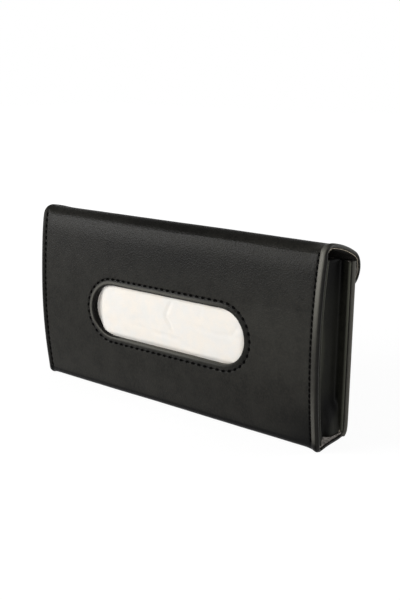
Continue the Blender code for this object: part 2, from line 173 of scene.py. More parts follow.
def bell(x, width):
    """1 at 0, falling smoothly to nothing a few widths away."""
    return math.exp(-((x / width) ** 2))


def wander(x, y, seed, wavelength):
    """Smooth value from about -1 to 1 that wanders over a wavelength."""
    return noise.noise(Vector((x / wavelength, y / wavelength, seed * 7.31)))


def spread(first, last, step):
    """Values from first to last, both kept, no further apart than step."""
    count = max(1, math.ceil(abs(last - first) / step - SLICE))
    return [first + (last - first) * i / count for i in range(count + 1)]


def joined(*runs):
    """Runs of values one after the other, each starting where the last one ends."""
    values = list(runs[0])
    for run in runs[1:]:
        values += run[1:]
    return values


def spaced(*stops):
    """Values from the first stop on: every second argument is the step up to the next stop."""
    runs = [spread(first, last, step) for first, step, last in zip(stops[::2], stops[1::2], stops[2::2])]
    return joined(*runs)


def heading(angle):
    """Unit vector (y, z) of a normal angle: 0 is +Y, a quarter turn is up, half a turn is -Y."""
    return Vector((math.cos(angle), math.sin(angle)))


class Arc:
    """Round stretch of the section, from a first to a last normal angle."""

    def __init__(self, centre, radius, first, last):
        self.centre, self.radius, self.first, self.last = centre, radius, first, last
        self.length = radius * (last - first)

    def at(self, distance, depth):
        angle = self.first + distance / self.radius
        normal = heading(angle)
        return self.centre + (self.radius - depth) * normal, normal


class Straight:
    """Flat stretch of the section between two points of the outside, with one outward normal."""

    def __init__(self, start, end, normal):
        self.start, self.end, self.normal = start, end, normal
        self.length = (end - start).length

    def at(self, distance, depth):
        point = self.start.lerp(self.end, distance / self.length)
        return point - self.normal * depth, self.normal


def section_stretches():
    """Stretches of the leather's outside in order, by name."""
    front_radius = FRONT_CHORD**2 / (8 * FRONT_BULGE) + FRONT_BULGE / 2
    lean = math.asin(FRONT_CHORD / (2 * front_radius))
    foot = Vector((CORNER * math.cos(lean), CORNER))
    front = foot + (CORNER - front_radius) * heading(HALF_TURN + lean)
    ridge = front + (front_radius - RIDGE_RADIUS) * heading(HALF_TURN - lean)
    heel = Vector((BODY_DEPTH - CORNER, CORNER))
    curl_y = BODY_DEPTH + FLAP_STAND_OFF - CURL_RADIUS
    reach = curl_y - ridge.x - RIDGE_RADIUS * math.cos(RIDGE_END) + CURL_RADIUS * math.cos(CROWN_END)
    crown_radius = reach / (math.cos(CROWN_END) - math.cos(RIDGE_END))
    crown = ridge + (RIDGE_RADIUS - crown_radius) * heading(RIDGE_END)
    curl = crown + (crown_radius - CURL_RADIUS) * heading(CROWN_END)
    back_foot, back_top = Vector((BODY_DEPTH, CORNER)), Vector((BODY_DEPTH, BACK_TOP))
    return {
        "curl": Arc(curl, CURL_RADIUS, TIP_ANGLE, CROWN_END),
        "crown": Arc(crown, crown_radius, CROWN_END, RIDGE_END),
        "ridge": Arc(ridge, RIDGE_RADIUS, RIDGE_END, HALF_TURN - lean),
        "front": Arc(front, front_radius, HALF_TURN - lean, HALF_TURN + lean),
        "foot": Arc(foot, CORNER, HALF_TURN + lean, DOWN),
        "bottom": Straight(Vector((foot.x, 0)), Vector((heel.x, 0)), Vector((0, -1))),
        "heel": Arc(heel, CORNER, DOWN, FULL_TURN),
        "back": Straight(back_foot, back_top, Vector((1, 0))),
    }


STRETCHES = section_stretches()


def starts_along():
    """How far along the outside each stretch starts, by name, and where the last one ends."""
    starts, distance = {}, 0.0
    for name, stretch in STRETCHES.items():
        starts[name] = distance
        distance += stretch.length
    starts["end"] = distance
    return starts


START = starts_along()


def section_at(s, depth=0.0):
    """Point (y, z) and outward normal at a way along the outside and a depth under it."""
    for name in reversed(STRETCHES):
        if s >= START[name] or name == "curl":
            return STRETCHES[name].at(s - START[name], depth)


def seam_x(side):
    """Where the side seam lies; the right one is sewn a little further in."""
    return END - RIGHT_INSET if side > 0 else LEFT_INSET - END


def end_swell(x, s):
    """The left end stands out a little further beside the fold."""
    return -LEFT_SWELL * past(-x, 85, 28) * bell(s - START["front"], 24 * MM)


def corner_change(x, s):
    """How far every layer moves inwards at the bottom: the heel is rounder, the front foot's ends hang."""
    heel = HEEL_ROUNDING * bell(s - START["heel"] - 3.1 * MM, 4.5 * MM)
    out = clamped((abs(x) - END + 11 * MM) / (8 * MM))
    hang = RIGHT_HANG if x > 0 else LEFT_HANG
    return heel - hang * out * out * bell(s - START["bottom"] + 1 * MM, 7 * MM)


def place(x, s, depth=0.0):
    """Point of the row frame for a place on the leather."""
    if abs(s - START["bottom"]) < 45 * MM:
        depth += corner_change(x, s)
    point, _ = section_at(s, depth)
    return Vector((x + end_swell(x, s), point.x + FOLD_Y, point.y))


def outward(s):
    """Outward normal in the row frame at a way along the leather."""
    _, normal = section_at(s)
    return Vector((0, normal.x, normal.y))


def front_s(height):
    """Way along the leather where the front is at a height."""
    front = STRETCHES["front"]
    angle = HALF_TURN - math.asin((height - front.centre.y) / front.radius)
    return START["front"] + front.radius * (angle - front.first)


def front_y(height, depth=0.0):
    point, _ = section_at(front_s(height), depth)
    return point.x


def linked(name, mesh):
    """Object in the scene, at the origin."""
    obj = bpy.data.objects.new(name, mesh)
    bpy.context.scene.collection.objects.link(obj)
    return obj


def finish_mesh(name, bm, materials, body=None, stands_for=()):
    """Object from a bmesh, with its materials, riding on its body."""
    bmesh.ops.recalc_face_normals(bm, faces=bm.faces)
    mesh = bpy.data.meshes.new(name)
    bm.to_mesh(mesh)
    bm.free()
    mesh.shade_smooth()
    for material in materials:
        mesh.materials.append(material)
    obj = linked(name, mesh)
    if body:
        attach(obj, body)
    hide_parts(*stands_for)
    return obj


def bridge(bm, first, second, material=0, closed=False):
    """Faces between two rows of vertices, one to one; material may be a list, one for each face."""
    count = len(first)
    for i in range(count if closed else count - 1):
        j = (i + 1) % count
        corners = [first[i], second[i], second[j], first[j]]
        kept = [v for k, v in enumerate(corners) if v is not corners[k - 1]]
        if len(kept) > 2:
            bm.faces.new(kept).material_index = material[i] if isinstance(material, list) else material


def oval_point(length, height, distance):
    """Point and outward direction at a way round an oval with straight long sides."""
    radius, straight = height / 2, length - height
    bend, side = HALF_TURN * radius, 1
    distance %= 2 * (straight + bend)
    if distance >= straight + bend:
        distance, side = distance - straight - bend, -1
    if distance < straight:
        return Vector((distance - straight / 2, -radius)) * side, Vector((0, -side))
    turn = (distance - straight) / radius
    out = Vector((math.sin(turn), -math.cos(turn)))
    return side * (Vector((straight / 2, 0)) + radius * out), side * out


def oval_round(length, height):
    return 2 * (length - height) + math.pi * height


def oval_way(length, height, x, y):
    """Way round the oval of the place nearest to a point, the inverse of oval_point."""
    radius, straight = height / 2, length - height
    bend = HALF_TURN * radius
    half = straight / 2
    if abs(x) <= half:
        return x + half if y < 0 else straight + bend + half - x
    if x > half:
        return straight + radius * (math.atan2(y, x - half) + HALF_TURN / 2)
    return 2 * straight + bend + radius * ((math.atan2(y, x + half) - HALF_TURN / 2) % FULL_TURN)


def between(points, value):
    """Value of a smooth line through (place, value) points."""
    if value <= points[0][0]:
        return points[0][1]
    for (x0, y0), (x1, y1) in zip(points, points[1:]):
        if value <= x1:
            return y0 + (y1 - y0) * smooth((value - x0) / (x1 - x0))
    return points[-1][1]


def fold_sag(x, s):
    """How far every layer sinks between the fold's crease and the ridge's top, where it is flattened."""
    first = START["front"] + between(CREASE_LINE, x / MM) * MM
    reach = 1 - (0.75 if x > 0 else 1.0) * past(abs(x) - END, -11, 9)
    share = (first - s) / (first - START["ridge"] + 1.5 * MM)
    if share >= 1:
        return 0.0
    if share <= 0:
        return FOLD_FLAT * reach * max(0.0, 1 - (s - first) / (11 * MM)) ** 2
    dip = FOLD_DIP * math.sin(HALF_TURN * share) * smooth(share * 8 + 0.2)
    return reach * (FOLD_FLAT * (1 - share) + dip)


# Painted light and shade on the leather's cut edge, ring by ring from its outer to its inner side
FRONT_EDGE_PAINTED_LIGHT = (-0.3, -0.6, -0.5, 0.15, -0.5)
BACK_EDGE_PAINTED_LIGHT = (-0.3, 0.3, 0.6, 0.65, 0.4)
EDGE_RINGS = len(FRONT_EDGE_PAINTED_LIGHT)
EDGE_FLARE = 1.5


class Strip:
    """Closed sheet along the leather's path, with a rounded rim and, if asked, an oval hole.

    columns are places in X and rows are ways s. top(x, s) and under(x, s) are the depths of its two
    faces, and a third function of (x, s) gives the light and shade painted into their colour, paler above
    0 and darker below it. hole lists the offset, depth and painted light and shade of each ring that the
    hole's lip follows from its top to its under, and box is the part of the grid it lies in.
    """

    def __init__(self, columns, rows, top, under, hole=None, box=None, rim_kind=lambda s: 2, wear=None):
        self.columns, self.rows, self.top, self.under = columns, rows, top, under
        self.hole, self.box, self.rim_kind, self.light_paint = hole, box, rim_kind, wear
        self.bm = bmesh.new()
        self.wear = self.bm.verts.layers.float.new("wear")
        self.uv = self.bm.loops.layers.uv.new("along")
        self.ways = {}
        outer, inner = self.sheet(self.top), self.sheet(self.under)
        self.cover(outer, 0)
        self.cover(inner, 1)
        self.rim(outer, inner)
        if hole:
            self.lip(outer, inner)
        for face in self.bm.faces:
            for loop in face.loops:
                loop[self.uv].uv = self.ways[loop.vert]

    def vert(self, x, s, depth, painted_tone=0.0):
        vertex = self.bm.verts.new(place(x, s, depth + fold_sag(x, s)))
        # Light and shade painted into the colour, kept on each vertex: paler above 0, darker below it
        vertex[self.wear] = painted_tone or (self.light_paint(x, s) if self.light_paint else 0.0)
        self.ways[vertex] = (x, s)
        return vertex

    def in_box(self, i, j, first):
        """Whether a place of the grid lies in the hole's box, from its edge or from first past it."""
        if not self.hole:
            return False
        i0, i1, j0, j1 = self.box
        return i0 + first <= i < i1 and j0 + first <= j < j1

    def sheet(self, depth):
        grid = []
        for j, s in enumerate(self.rows):
            places = enumerate(self.columns)
            grid.append([None if self.in_box(i, j, 1) else self.vert(x, s, depth(x, s)) for i, x in places])
        return grid

    def cover(self, grid, material):
        for j in range(len(grid) - 1):
            for i in range(len(self.columns) - 1):
                if not self.in_box(i, j, 0):
                    corners = (grid[j][i], grid[j + 1][i], grid[j + 1][i + 1], grid[j][i + 1])
                    self.bm.faces.new(corners).material_index = material

    def rim(self, outer, inner):
        """Half-round edge all round, between the outlines of the two faces."""
        last_i, last_j = len(self.columns) - 1, len(self.rows) - 1
        around = [(i, 0) for i in range(last_i)] + [(last_i, j) for j in range(last_j)]
        around += [(i, last_j) for i in range(last_i, 0, -1)] + [(0, j) for j in range(last_j, 0, -1)]
        rings = [[outer[j][i] for i, j in around]]
        for k in range(EDGE_RINGS):
            turn = HALF_TURN * (k + 1) / (EDGE_RINGS + 1)
            ring = []
            for i, j in around:
                x, s = self.columns[i], self.rows[j]
                side = -1 if i == 0 else int(i == last_i)
                high, low = self.top(x, s), self.under(x, s)
                radius = (low - high) / 2
                out = radius * math.sin(turn) * (EDGE_FLARE if s > START["heel"] else 1.0)
                depth = (high + low) / 2 - radius * math.cos(turn)
                # The side edges' rings get their own painted light and shade
                painted_tone = self.edge_painted_light(k, x, s) if self.light_paint and side else 0
                ring.append(self.vert(x + side * out, s, depth, painted_tone))
            rings.append(ring)
        rings.append([inner[j][i] for i, j in around])
        kinds = [self.rim_kind(self.rows[j]) for _, j in around]
        for first, second in zip(rings, rings[1:]):
            bridge(self.bm, first, second, kinds, closed=True)

    def edge_painted_light(self, ring, x, s):
        """Painted light and shade of the side edges: as the leather beside them on the flap, their own below
        the ridge.
        """
        own = (FRONT_EDGE_PAINTED_LIGHT if s < START["heel"] else BACK_EDGE_PAINTED_LIGHT)[ring]
        first = START["ridge"] + 1 * MM
        fade = smooth((s - first) / (START["front"] + 2 * MM - first))
        return own * fade + self.light_paint(x, s) * (1 - fade)

    def box_outline(self, grid):
        i0, i1, j0, j1 = self.box
        places = [(i, j1) for i in range(i0, i1)] + [(i1, j) for j in range(j1, j0, -1)]
        places += [(i, j0) for i in range(i1, i0, -1)] + [(i0, j) for j in range(j0, j1)]
        return [grid[j][i] for i, j in places], [(self.columns[i], self.rows[j]) for i, j in places]

    def lip(self, outer, inner):
        """Rings from the box round the hole to the lip, through it and back to the box."""
        top_verts, border = self.box_outline(outer)
        under_verts, _ = self.box_outline(inner)
        middle = front_s(WINDOW_CENTRE)
        ways = [oval_way(WINDOW_LENGTH, WINDOW_HEIGHT, x, middle - s) for x, s in border]

        def spot(way, offset):
            point, out = oval_point(WINDOW_LENGTH, WINDOW_HEIGHT, way)
            point = point + out * offset
            return point.x, middle - point.y

        def flat_ring(offset, share, depth):
            """Ring on a face, a share of the way from the hole's ring at an offset to the box."""
            ring = []
            for (x, s), way in zip(border, ways):
                ox, os = spot(way, offset)
                px, ps = ox + (x - ox) * share, os + (s - os) * share
                ring.append(self.vert(px, ps, depth(px, ps)))
            return ring

        rings = [top_verts] + [flat_ring(self.hole[0][0], share, self.top) for share in (0.7, 0.45, 0.22)]
        for offset, depth, painted_tone in self.hole:
            ring = []
            for way in ways:
                x, s = spot(way, offset)
                shade = painted_tone(x, s) if callable(painted_tone) else painted_tone
                ring.append(self.vert(x, s, depth(x, s) if callable(depth) else depth, shade))
            rings.append(ring)
        rings += [flat_ring(self.hole[-1][0], 0.5, self.under), under_verts]
        for first, second in zip(rings, rings[1:]):
            bridge(self.bm, first, second, 0, closed=True)


class Wire:
    """A value inside a node tree; arithmetic on it adds Math nodes."""

    def __init__(self, graph, socket):
        self.graph, self.socket = graph, socket

    def __add__(self, other):
        return self.graph.math("ADD", self, other)

    def __sub__(self, other):
        return self.graph.math("SUBTRACT", self, other)

    def __rsub__(self, other):
        return self.graph.math("SUBTRACT", other, self)

    def __mul__(self, other):
        return self.graph.math("MULTIPLY", self, other)

    def __truediv__(self, other):
        return self.graph.math("DIVIDE", self, other)

    __radd__ = __add__
    __rmul__ = __mul__


class Graph:
    """A node tree under construction."""

    def __init__(self, tree):
        self.tree = tree

    def node(self, kind, settings=None, sockets=None, output=0):
        """Wire from a new node: its settings are set first, then its sockets' values or links."""
        made = self.tree.nodes.new(kind)
        for key, value in (settings or {}).items():
            setattr(made, key, value)
        for key, value in (sockets or {}).items():
            self.feed(made.inputs[key], value)
        return Wire(self, made.outputs[output])

    def feed(self, socket, value):
        """Links a wire to a socket, or sets the socket's own number or colour."""
        if isinstance(value, Wire):
            self.tree.links.new(value.socket, socket)
        elif socket.type == "RGBA":
            socket.default_value = (*value, 1)
        else:
            socket.default_value = value

    def math(self, operation, first, second):
        return self.node("ShaderNodeMath", {"operation": operation}, {0: first, 1: second})


class Recipe(Graph):
    """Node tree of a material or of the world."""

    def __init__(self, owner):
        owner.use_nodes = True
        super().__init__(owner.node_tree)
        self.owner = owner

    def largest(self, first, *others):
        for other in others:
            first = self.math("MAXIMUM", first, other)
        return first

    def place(self, kind="Object"):
        return self.node("ShaderNodeTexCoord", output=kind)

    def noise(self, size, detail=2.0, roughness=0.5, stretch=None):
        """Noise of about 0 to 1 whose blobs are about that size, in metres."""
        where = self.place()
        if stretch:
            where = self.node("ShaderNodeMapping", {}, {"Vector": where, "Scale": stretch})
        values = {"Vector": where, "Scale": 1 / size, "Detail": detail, "Roughness": roughness}
        return self.node("ShaderNodeTexNoise", {}, values)

    def wave(self, direction, **sockets):
        """Parallel bands, 0 to 1 across each."""
        settings = {"wave_type": "BANDS", "bands_direction": direction}
        return self.node("ShaderNodeTexWave", settings, {"Vector": self.place(), **sockets})

    # Vertex attribute of the light and shade painted into the colour: paler above 0, darker below it
    def wear(self):
        return self.node("ShaderNodeAttribute", {"attribute_name": "wear"}, output="Fac")

    def band(self, value, low, high):
        """0 below low, 1 above high."""
        values = {"Value": value, "From Min": low, "From Max": high}
        return self.node("ShaderNodeMapRange", {"interpolation_type": "SMOOTHSTEP"}, values)

    def blend(self, share, first, second):
        """Colour between two colours."""
        return self.node("ShaderNodeMix", {"data_type": "RGBA"}, {0: share, 6: first, 7: second}, output=2)

    def bump(self, height, depth, strength=1.0):
        return self.node("ShaderNodeBump", {}, {"Height": height, "Distance": depth, "Strength": strength})

    def finish(self, **sockets):
        """Feeds the shader's sockets, named in capitals or not, and gives the material."""
        shader = self.tree.nodes["Principled BSDF"]
        for key, value in sockets.items():
            self.feed(shader.inputs[key.replace("_", " ").title().replace("Ior", "IOR")], value)
        return self.owner


BLACK = (0.0, 0.0, 0.0)


def toned(colour, level):
    """The colour, lighter or darker; level may be one number or one for each channel."""
    levels = level if isinstance(level, tuple) else (level,) * 3
    return tuple(min(1.0, c * k) for c, k in zip(colour, levels))


def new_recipe(name):
    return Recipe(bpy.data.materials.new(name))


def leather_material(name, colour, roughness=0.4, grain=1.0, specular=0.09):
    """Black coated leather: fine pebble grain and faint mottling, paler where light is painted on, black
    where shade is painted on.
    """
    recipe = new_recipe(name)
    mottle = recipe.noise(11 * MM, 3.0, 0.6)
    fine = recipe.noise(1.6 * MM, 2.0, 0.55)
    values = {"Vector": recipe.place(), "Scale": 1 / (0.85 * MM)}
    pebble = recipe.node("ShaderNodeTexVoronoi", {"feature": "SMOOTH_F1"}, values)
    creases = recipe.noise(0.5 * MM, 3.0, 0.65)
    painted_tone = recipe.wear()
    tone = recipe.blend(recipe.band(mottle, 0.3, 0.7), toned(colour, 0.82), toned(colour, 1.3))
    warm = recipe.blend(recipe.band(fine, 0.35, 0.75) * 0.5, tone, toned(colour, (1.8, 1.7, 1.6)))
    # Painted light: above 0 the colour goes paler, up to twelve times as light
    painted_highlights = recipe.blend(recipe.largest(painted_tone, 0.0), warm, toned(colour, 12))
    return recipe.finish(
        # Painted shade: below 0 the colour goes to black
        base_color=recipe.blend(recipe.largest(painted_tone * -1.0, 0.0), painted_highlights, BLACK),
        roughness=roughness + 0.14 * (mottle - 0.5) + 0.16 * (fine - 0.5),
        normal=recipe.bump(pebble * 0.8 + creases * 0.35, 0.18 * MM * grain, 0.95),
        specular_ior_level=specular,
    )


def backing_material(name, colour, pale=None):
    """Woven cloth backing and raw edges: fuzzy threads, uneven tone, paler where light is painted on and
    black where shade is painted on.
    """
    recipe = new_recipe(name)
    fuzz = recipe.noise(0.45 * MM, 4.0, 0.7)
    patches = recipe.noise(1.8 * MM, 3.0, 0.6)
    # Where a paler colour is given, painted light pales the cloth and painted shade blackens it
    lighted = recipe.wear() if pale else 0.0
    base = recipe.blend(recipe.largest(lighted, 0.0), colour, pale or colour)
    dim = recipe.largest(0.6 * recipe.band(patches, 0.35, 0.65), lighted * -1.0)
    paler_cloth = recipe.blend(recipe.band(fuzz, 0.35, 0.65) * 0.3, base, toned(pale or colour, 1.8))
    return recipe.finish(
        base_color=recipe.blend(dim, paler_cloth, BLACK),
        roughness=0.88 + 0.1 * (patches - 0.5),
        normal=recipe.bump(fuzz, 0.25 * MM, 0.8),
        specular_ior_level=0.15,
    )


def tissue_material(name, colour):
    """Soft white tissue: faint fibres, warm and cool patches."""
    recipe = new_recipe(name)
    fibres = recipe.noise(0.7 * MM, 4.0, 0.7, stretch=(0.5, 1.0, 1.6))
    patches = recipe.noise(11 * MM, 3.0, 0.6)
    warm, cool = toned(colour, (1.0, 0.975, 0.94)), toned(colour, (0.95, 0.96, 0.965))
    tone = recipe.blend(recipe.band(patches, 0.35, 0.65), warm, cool)
    return recipe.finish(
        base_color=recipe.blend(recipe.band(fibres, 0.4, 0.7) * 0.35, tone, toned(colour, 0.9)),
        roughness=0.9 + 0.06 * (patches - 0.5),
        normal=recipe.bump(fibres, 0.08 * MM, 0.6),
        specular_ior_level=0.2,
    )


def thread_material(name, colour):
    """Twisted sewing thread: slanted plies and a low sheen."""
    recipe = new_recipe(name)
    plies = recipe.wave("DIAGONAL", Scale=900.0, Distortion=1.5)
    return recipe.finish(
        base_color=recipe.blend(plies, toned(colour, 0.6), toned(colour, 1.5)),
        roughness=0.8 + 0.1 * (plies - 0.5),
        normal=recipe.bump(plies, 0.08 * MM, 0.5),
        specular_ior_level=0.02,
    )


def webbing_material(name, colour):
    """Woven elastic: short ribs across each long cord."""
    recipe = new_recipe(name)
    across = recipe.wave("Z", Scale=0.32 / (0.9 * MM), Distortion=0.6, Detail=1.0)
    weave = recipe.noise(0.35 * MM, 3.0, 0.6)
    share = recipe.band(across * 0.7 + weave * 0.3, 0.3, 0.7)
    return recipe.finish(
        base_color=recipe.blend(share, toned(colour, 0.55), toned(colour, 1.6)),
        roughness=0.8 + 0.12 * (weave - 0.5),
        normal=recipe.bump(across * 0.75 + weave * 0.4, 0.22 * MM, 0.9),
        specular_ior_level=0.2,
    )


def board_material(name, colour):
    """Pressed fibre board: long fibres and specks."""
    recipe = new_recipe(name)
    fibres = recipe.noise(1.2 * MM, 5.0, 0.7, stretch=(0.25, 1.0, 1.0))
    specks = recipe.noise(0.5 * MM, 2.0, 0.5)
    tone = recipe.blend(recipe.band(fibres, 0.3, 0.7), toned(colour, 0.75), toned(colour, 1.2))
    return recipe.finish(
        base_color=recipe.blend(recipe.band(specks, 0.62, 0.72) * 0.6, tone, toned(colour, 0.45)),
        roughness=0.85 + 0.1 * (fibres - 0.5),
        normal=recipe.bump(fibres, 0.1 * MM, 0.5),
    )


def magnet_material(name, colour):
    """Flexible magnet strip: dull rubber with fine lines along it."""
    recipe = new_recipe(name)
    lines = recipe.noise(0.6 * MM, 2.0, 0.5, stretch=(0.05, 1.0, 1.0))
    return recipe.finish(
        base_color=recipe.blend(lines, toned(colour, 0.7), toned(colour, 1.3)),
        roughness=0.68 + 0.15 * (lines - 0.5),
        normal=recipe.bump(lines, 0.05 * MM, 0.5),
    )


# Where the leather bends when the flap is lifted, as offsets from the fold line
BEND_START = (-0.3 * MM, -0.25 * MM)
BEND_END = (1.5 * MM, 1.1 * MM)
JOIN_S = START["bottom"] + 1 * MM

# Roundness of the strip outside the side seams, and where it stands out most
STRIP_SWELL = 0.5 * MM
STRIP_TURN = 1.1 * MM
LEFT_CREST = 2.2 * MM
RIGHT_CREST = 2.9 * MM

# How much thinner the turned edge is under the bottom
FOOT_THINNING = 1.3 * MM

# Depth of the seams' grooves between the needle holes, and how much deeper they are at them, in mm
GROOVE, SIDE_HOLE, WINDOW_HOLE = 0.12, 0.5, 0.6
TIP_GROOVE, TIP_HOLE = 0.2, 0.3
GROOVE_WIDTH = 0.7 * MM
TIP_GROOVE_WIDTH = 0.75 * MM

# The part of the grid round the window that the window's rings fill
BOX_HALF = 80 * MM
BOX_TOP = 89 * MM
BOX_FOOT = 25 * MM


def bend_with_flap(obj):
    """Bakes the piece's placement into its mesh; it does not bend the piece with the flap."""
    start, end = [(0, FOLD_Y + y, FOLD_Z + z) for y, z in (BEND_START, BEND_END)]
    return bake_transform(obj)


def seam_runs(side):
    """Rows of stitches along one side, by name: first and last way, the pitch that fits and their count."""
    runs = {}
    pitch = RIGHT_PITCH if side > 0 else LEFT_PITCH
    tip, _ = section_at(0.0)
    spans = {
        "flap": (3 * MM, START["ridge"] - 7 * MM, pitch),
        "front": (START["front"] - 2 * MM, START["foot"] - 1.5 * MM, pitch),
        "back": (START["back"] + 4 * MM, START["back"] + tip.y - 4 * MM - CORNER, WIDE_PITCH),
    }
    for name, (first, last, wanted) in spans.items():
        count = round((last - first) / wanted)
        runs[name] = (first, last, (last - first) / count, count)
    return runs


SEAMS = {side: seam_runs(side) for side in (-1, 1)}
TIP_COUNT = round(2 * (END - TIP_INSET) / WIDE_PITCH)


def seams_beside(x):
    return SEAMS[1 if x > 0 else -1]


def pucker(way, first, pitch):
    """1 at a seam's needle holes, 0 half way between them."""
    return 0.5 + 0.5 * math.cos(FULL_TURN * (way - first) / pitch)


def beyond_seam(x):
    """How far outside the nearer side seam a place is."""
    return abs(x) - abs(seam_x(x))


def margin(x, s):
    """Roundness of the strip outside the side seams: it swells outwards, then turns in at the edge."""
    beyond = beyond_seam(x)
    if s > START["heel"]:
        return -STRIP_SWELL * past(beyond, -6, 6)
    crest = RIGHT_CREST if x > 0 else LEFT_CREST
    return -STRIP_SWELL * smooth(beyond / crest) + STRIP_TURN * past(beyond - crest, 0, 1.5) ** 2


def flap_painted_light(x, s):
    """Painted light and shade behind the fold: shade darkens the middle of the ridge, light pales the strip
    outside the right seam.
    """
    beyond = beyond_seam(x)
    ridge = -0.55 * bell(x, 60 * MM) * past(s - START["crown"], 0, 10)
    strip = past(beyond, -0.1, 0.6) * past(s - START["ridge"], 1, 9)
    near = smooth((s - START["ridge"]) / (START["front"] - START["ridge"]))
    strip *= (0.5 + 0.45 * near) * (1 - near * past(beyond, 3.2, 0.9))
    strip *= 1.0 if x > 0 else 0.08
    corner_light = 0.12 * past(x - END, -17, 12)
    corner_light *= past(s - START["crown"], -4, 8)
    corner_light *= before(s - START["front"], -3, 3)
    return max(0.04 * past(beyond, 2.4, 1), strip) + ridge + corner_light


def panel_painted_light(x, s):
    """Painted light and shade from the fold down: paler strips outside the seams, black seams, darker
    middle, corner and foot, a highlight under the fold.
    """
    beyond = beyond_seam(x)
    down = (s - START["front"]) / (START["foot"] - START["front"])
    behind = before(s - START["back"], 0, 6)
    strip = past(beyond, -0.1, 0.6) * before(beyond, 4.1, 0.9)
    level = 0.13 + 0.82 * smooth(1 - 1.8 * down) + 0.24 * smooth((down - 0.6) / 0.3)
    if x < 0:
        level = 0.06 - 0.5 * smooth(down / 0.5)
    seam = -0.6 * bell(beyond, 0.55 * MM)
    middle = -0.35 * bell(x, 65 * MM) * bell(down - 0.12, 0.12) - 0.2 * smooth((0.32 - down) / 0.2)
    right = 0.045 * past(x, 0, 70) * bell(down - 0.45, 0.25)
    shine = 0.2 * bell(down - 0.02, 0.045)
    corner = -0.7 * bell(x - END, 22 * MM) * smooth((down - 0.7) / 0.25)
    low = -0.2 * past(x, -20, 60) * smooth((down - 0.65) / 0.25)
    from_foot = s - START["foot"]
    foot = -0.25 * past(from_foot, -7, 6) - 0.75 * past(from_foot, -2, 1.5)
    inside = (middle + right + shine + corner + low) * (1 - strip)
    return foot * behind + level * behind * strip + seam + inside


def leather_painted_light(x, s):
    """Light and shade painted on the leather, from 1 where it is painted pale down to -1 where it is painted
    black.
    """
    return flap_painted_light(x, s) if s < START["front"] else panel_painted_light(x, s)


def side_groove(x, s):
    """Depth that the side seams pull into the leather."""
    near = bell(beyond_seam(x), GROOVE_WIDTH)
    pull = 0.0
    if near > 0.01:
        for first, last, pitch, _ in seams_beside(x).values():
            if first - pitch < s < last + pitch:
                fade = smooth((s - first + pitch) / pitch) * smooth((last + pitch - s) / pitch)
                pull = near * fade * (GROOVE + SIDE_HOLE * pucker(s, first, pitch)) * MM
    return pull + margin(x, s)


def tip_groove(x, s):
    """Depth that the seam along the flap's tip pulls into the leather."""
    half = END - TIP_INSET
    if abs(x) > half or s > 2 * TIP_ROW:
        return 0.0
    depth = TIP_GROOVE + TIP_HOLE * pucker(x + half, 0, 2 * half / TIP_COUNT)
    return bell(s - TIP_ROW, TIP_GROOVE_WIDTH) * depth * MM


def softness(x, s):
    """Slow unevenness of soft leather over its boards, strongest over the padded front."""
    wave = 0.16 * wander(x, s, 1, 55 * MM) + 0.07 * wander(x, s, 2, 17 * MM)
    return wave * MM * past(END - abs(x), 0, 9)


def leather_top(x, s):
    return side_groove(x, s) + tip_groove(x, s) + softness(x, s)


def hem_at(s):
    """Thickness of the turned edge: two layers in the flap, two and the filler cord at the case."""
    case = past(s - START["front"], -2, 6)
    low = past(s - START["foot"], 2, 4) * before(s - START["heel"], 1, 4)
    return FLAP_HEM + (CASE_HEM - FLAP_HEM) * case - FOOT_THINNING * low


def leather_under(x, s):
    share = past(abs(x) - END + HEM_WIDTH, -0.6, 0.6)
    return LEATHER + softness(x, s) + share * (hem_at(s) - LEATHER)


def across(left, step, right):
    """Columns from end to end; left and right run outwards from the window's box."""
    return joined([-x for x in reversed(left)], spread(-BOX_HALF, BOX_HALF, step), right)


def leather_columns(step):
    sides = []
    for side in (-1, 1):
        seam, last = abs(seam_x(side)), END - CASE_HEM / 2 + 0.2 * MM
        inner = (BOX_HALF, 3 * MM, seam - 7 * MM, 1.2 * MM, seam - 1.2 * MM)
        sides.append(spaced(*inner, 0.4 * MM, seam + 2.4 * MM, 0.5 * MM, last))
    return across(sides[0], step, sides[1])


def nearest(values, wanted):
    return min(range(len(values)), key=lambda i: abs(values[i] - wanted))


def box_of(columns, rows):
    """Column and row numbers of the box round the window."""
    i0, i1 = nearest(columns, -BOX_HALF), nearest(columns, BOX_HALF)
    return i0, i1, nearest(rows, front_s(BOX_TOP)), nearest(rows, front_s(BOX_FOOT))


def window_seam_way():
    """Length and height of the window's seam, the pitch that fits it and its count of stitches."""
    length = WINDOW_LENGTH + 2 * WINDOW_SEAM_OFFSET
    height = WINDOW_HEIGHT + 2 * WINDOW_SEAM_OFFSET
    around = oval_round(length, height)
    count = round(around / WIDE_PITCH)
    return length, height, around / count, count


def window_pucker(x, s):
    length, height, pitch, _ = window_seam_way()
    way = oval_way(length, height, x, front_s(WINDOW_CENTRE) - s)
    return pucker(way, 0, pitch)


def window_groove(share):
    """Depth of a ring beside or in the window's seam; share is 1 in the seam itself."""
    return lambda x, s: softness(x, s) + share * (GROOVE + WINDOW_HOLE * window_pucker(x, s) ** 2) * MM


def window_lip(rise):
    """Height of the rolled lip, in mm, drawn in a little beside each needle hole."""
    return lambda x, s: softness(x, s) - (rise - 0.07 * window_pucker(x, s)) * MM


def window_wall(shallow, deep):
    """Depth of the turned edge inside the opening, in mm: it reaches deeper at the left end."""
    return lambda x, s: (shallow + (deep - shallow) * past(-x, 44, 12)) * MM


def below_window(s):
    """1 along the lower edge of the window, 0 along its upper one."""
    return past(s - front_s(WINDOW_CENTRE), 6, 8)


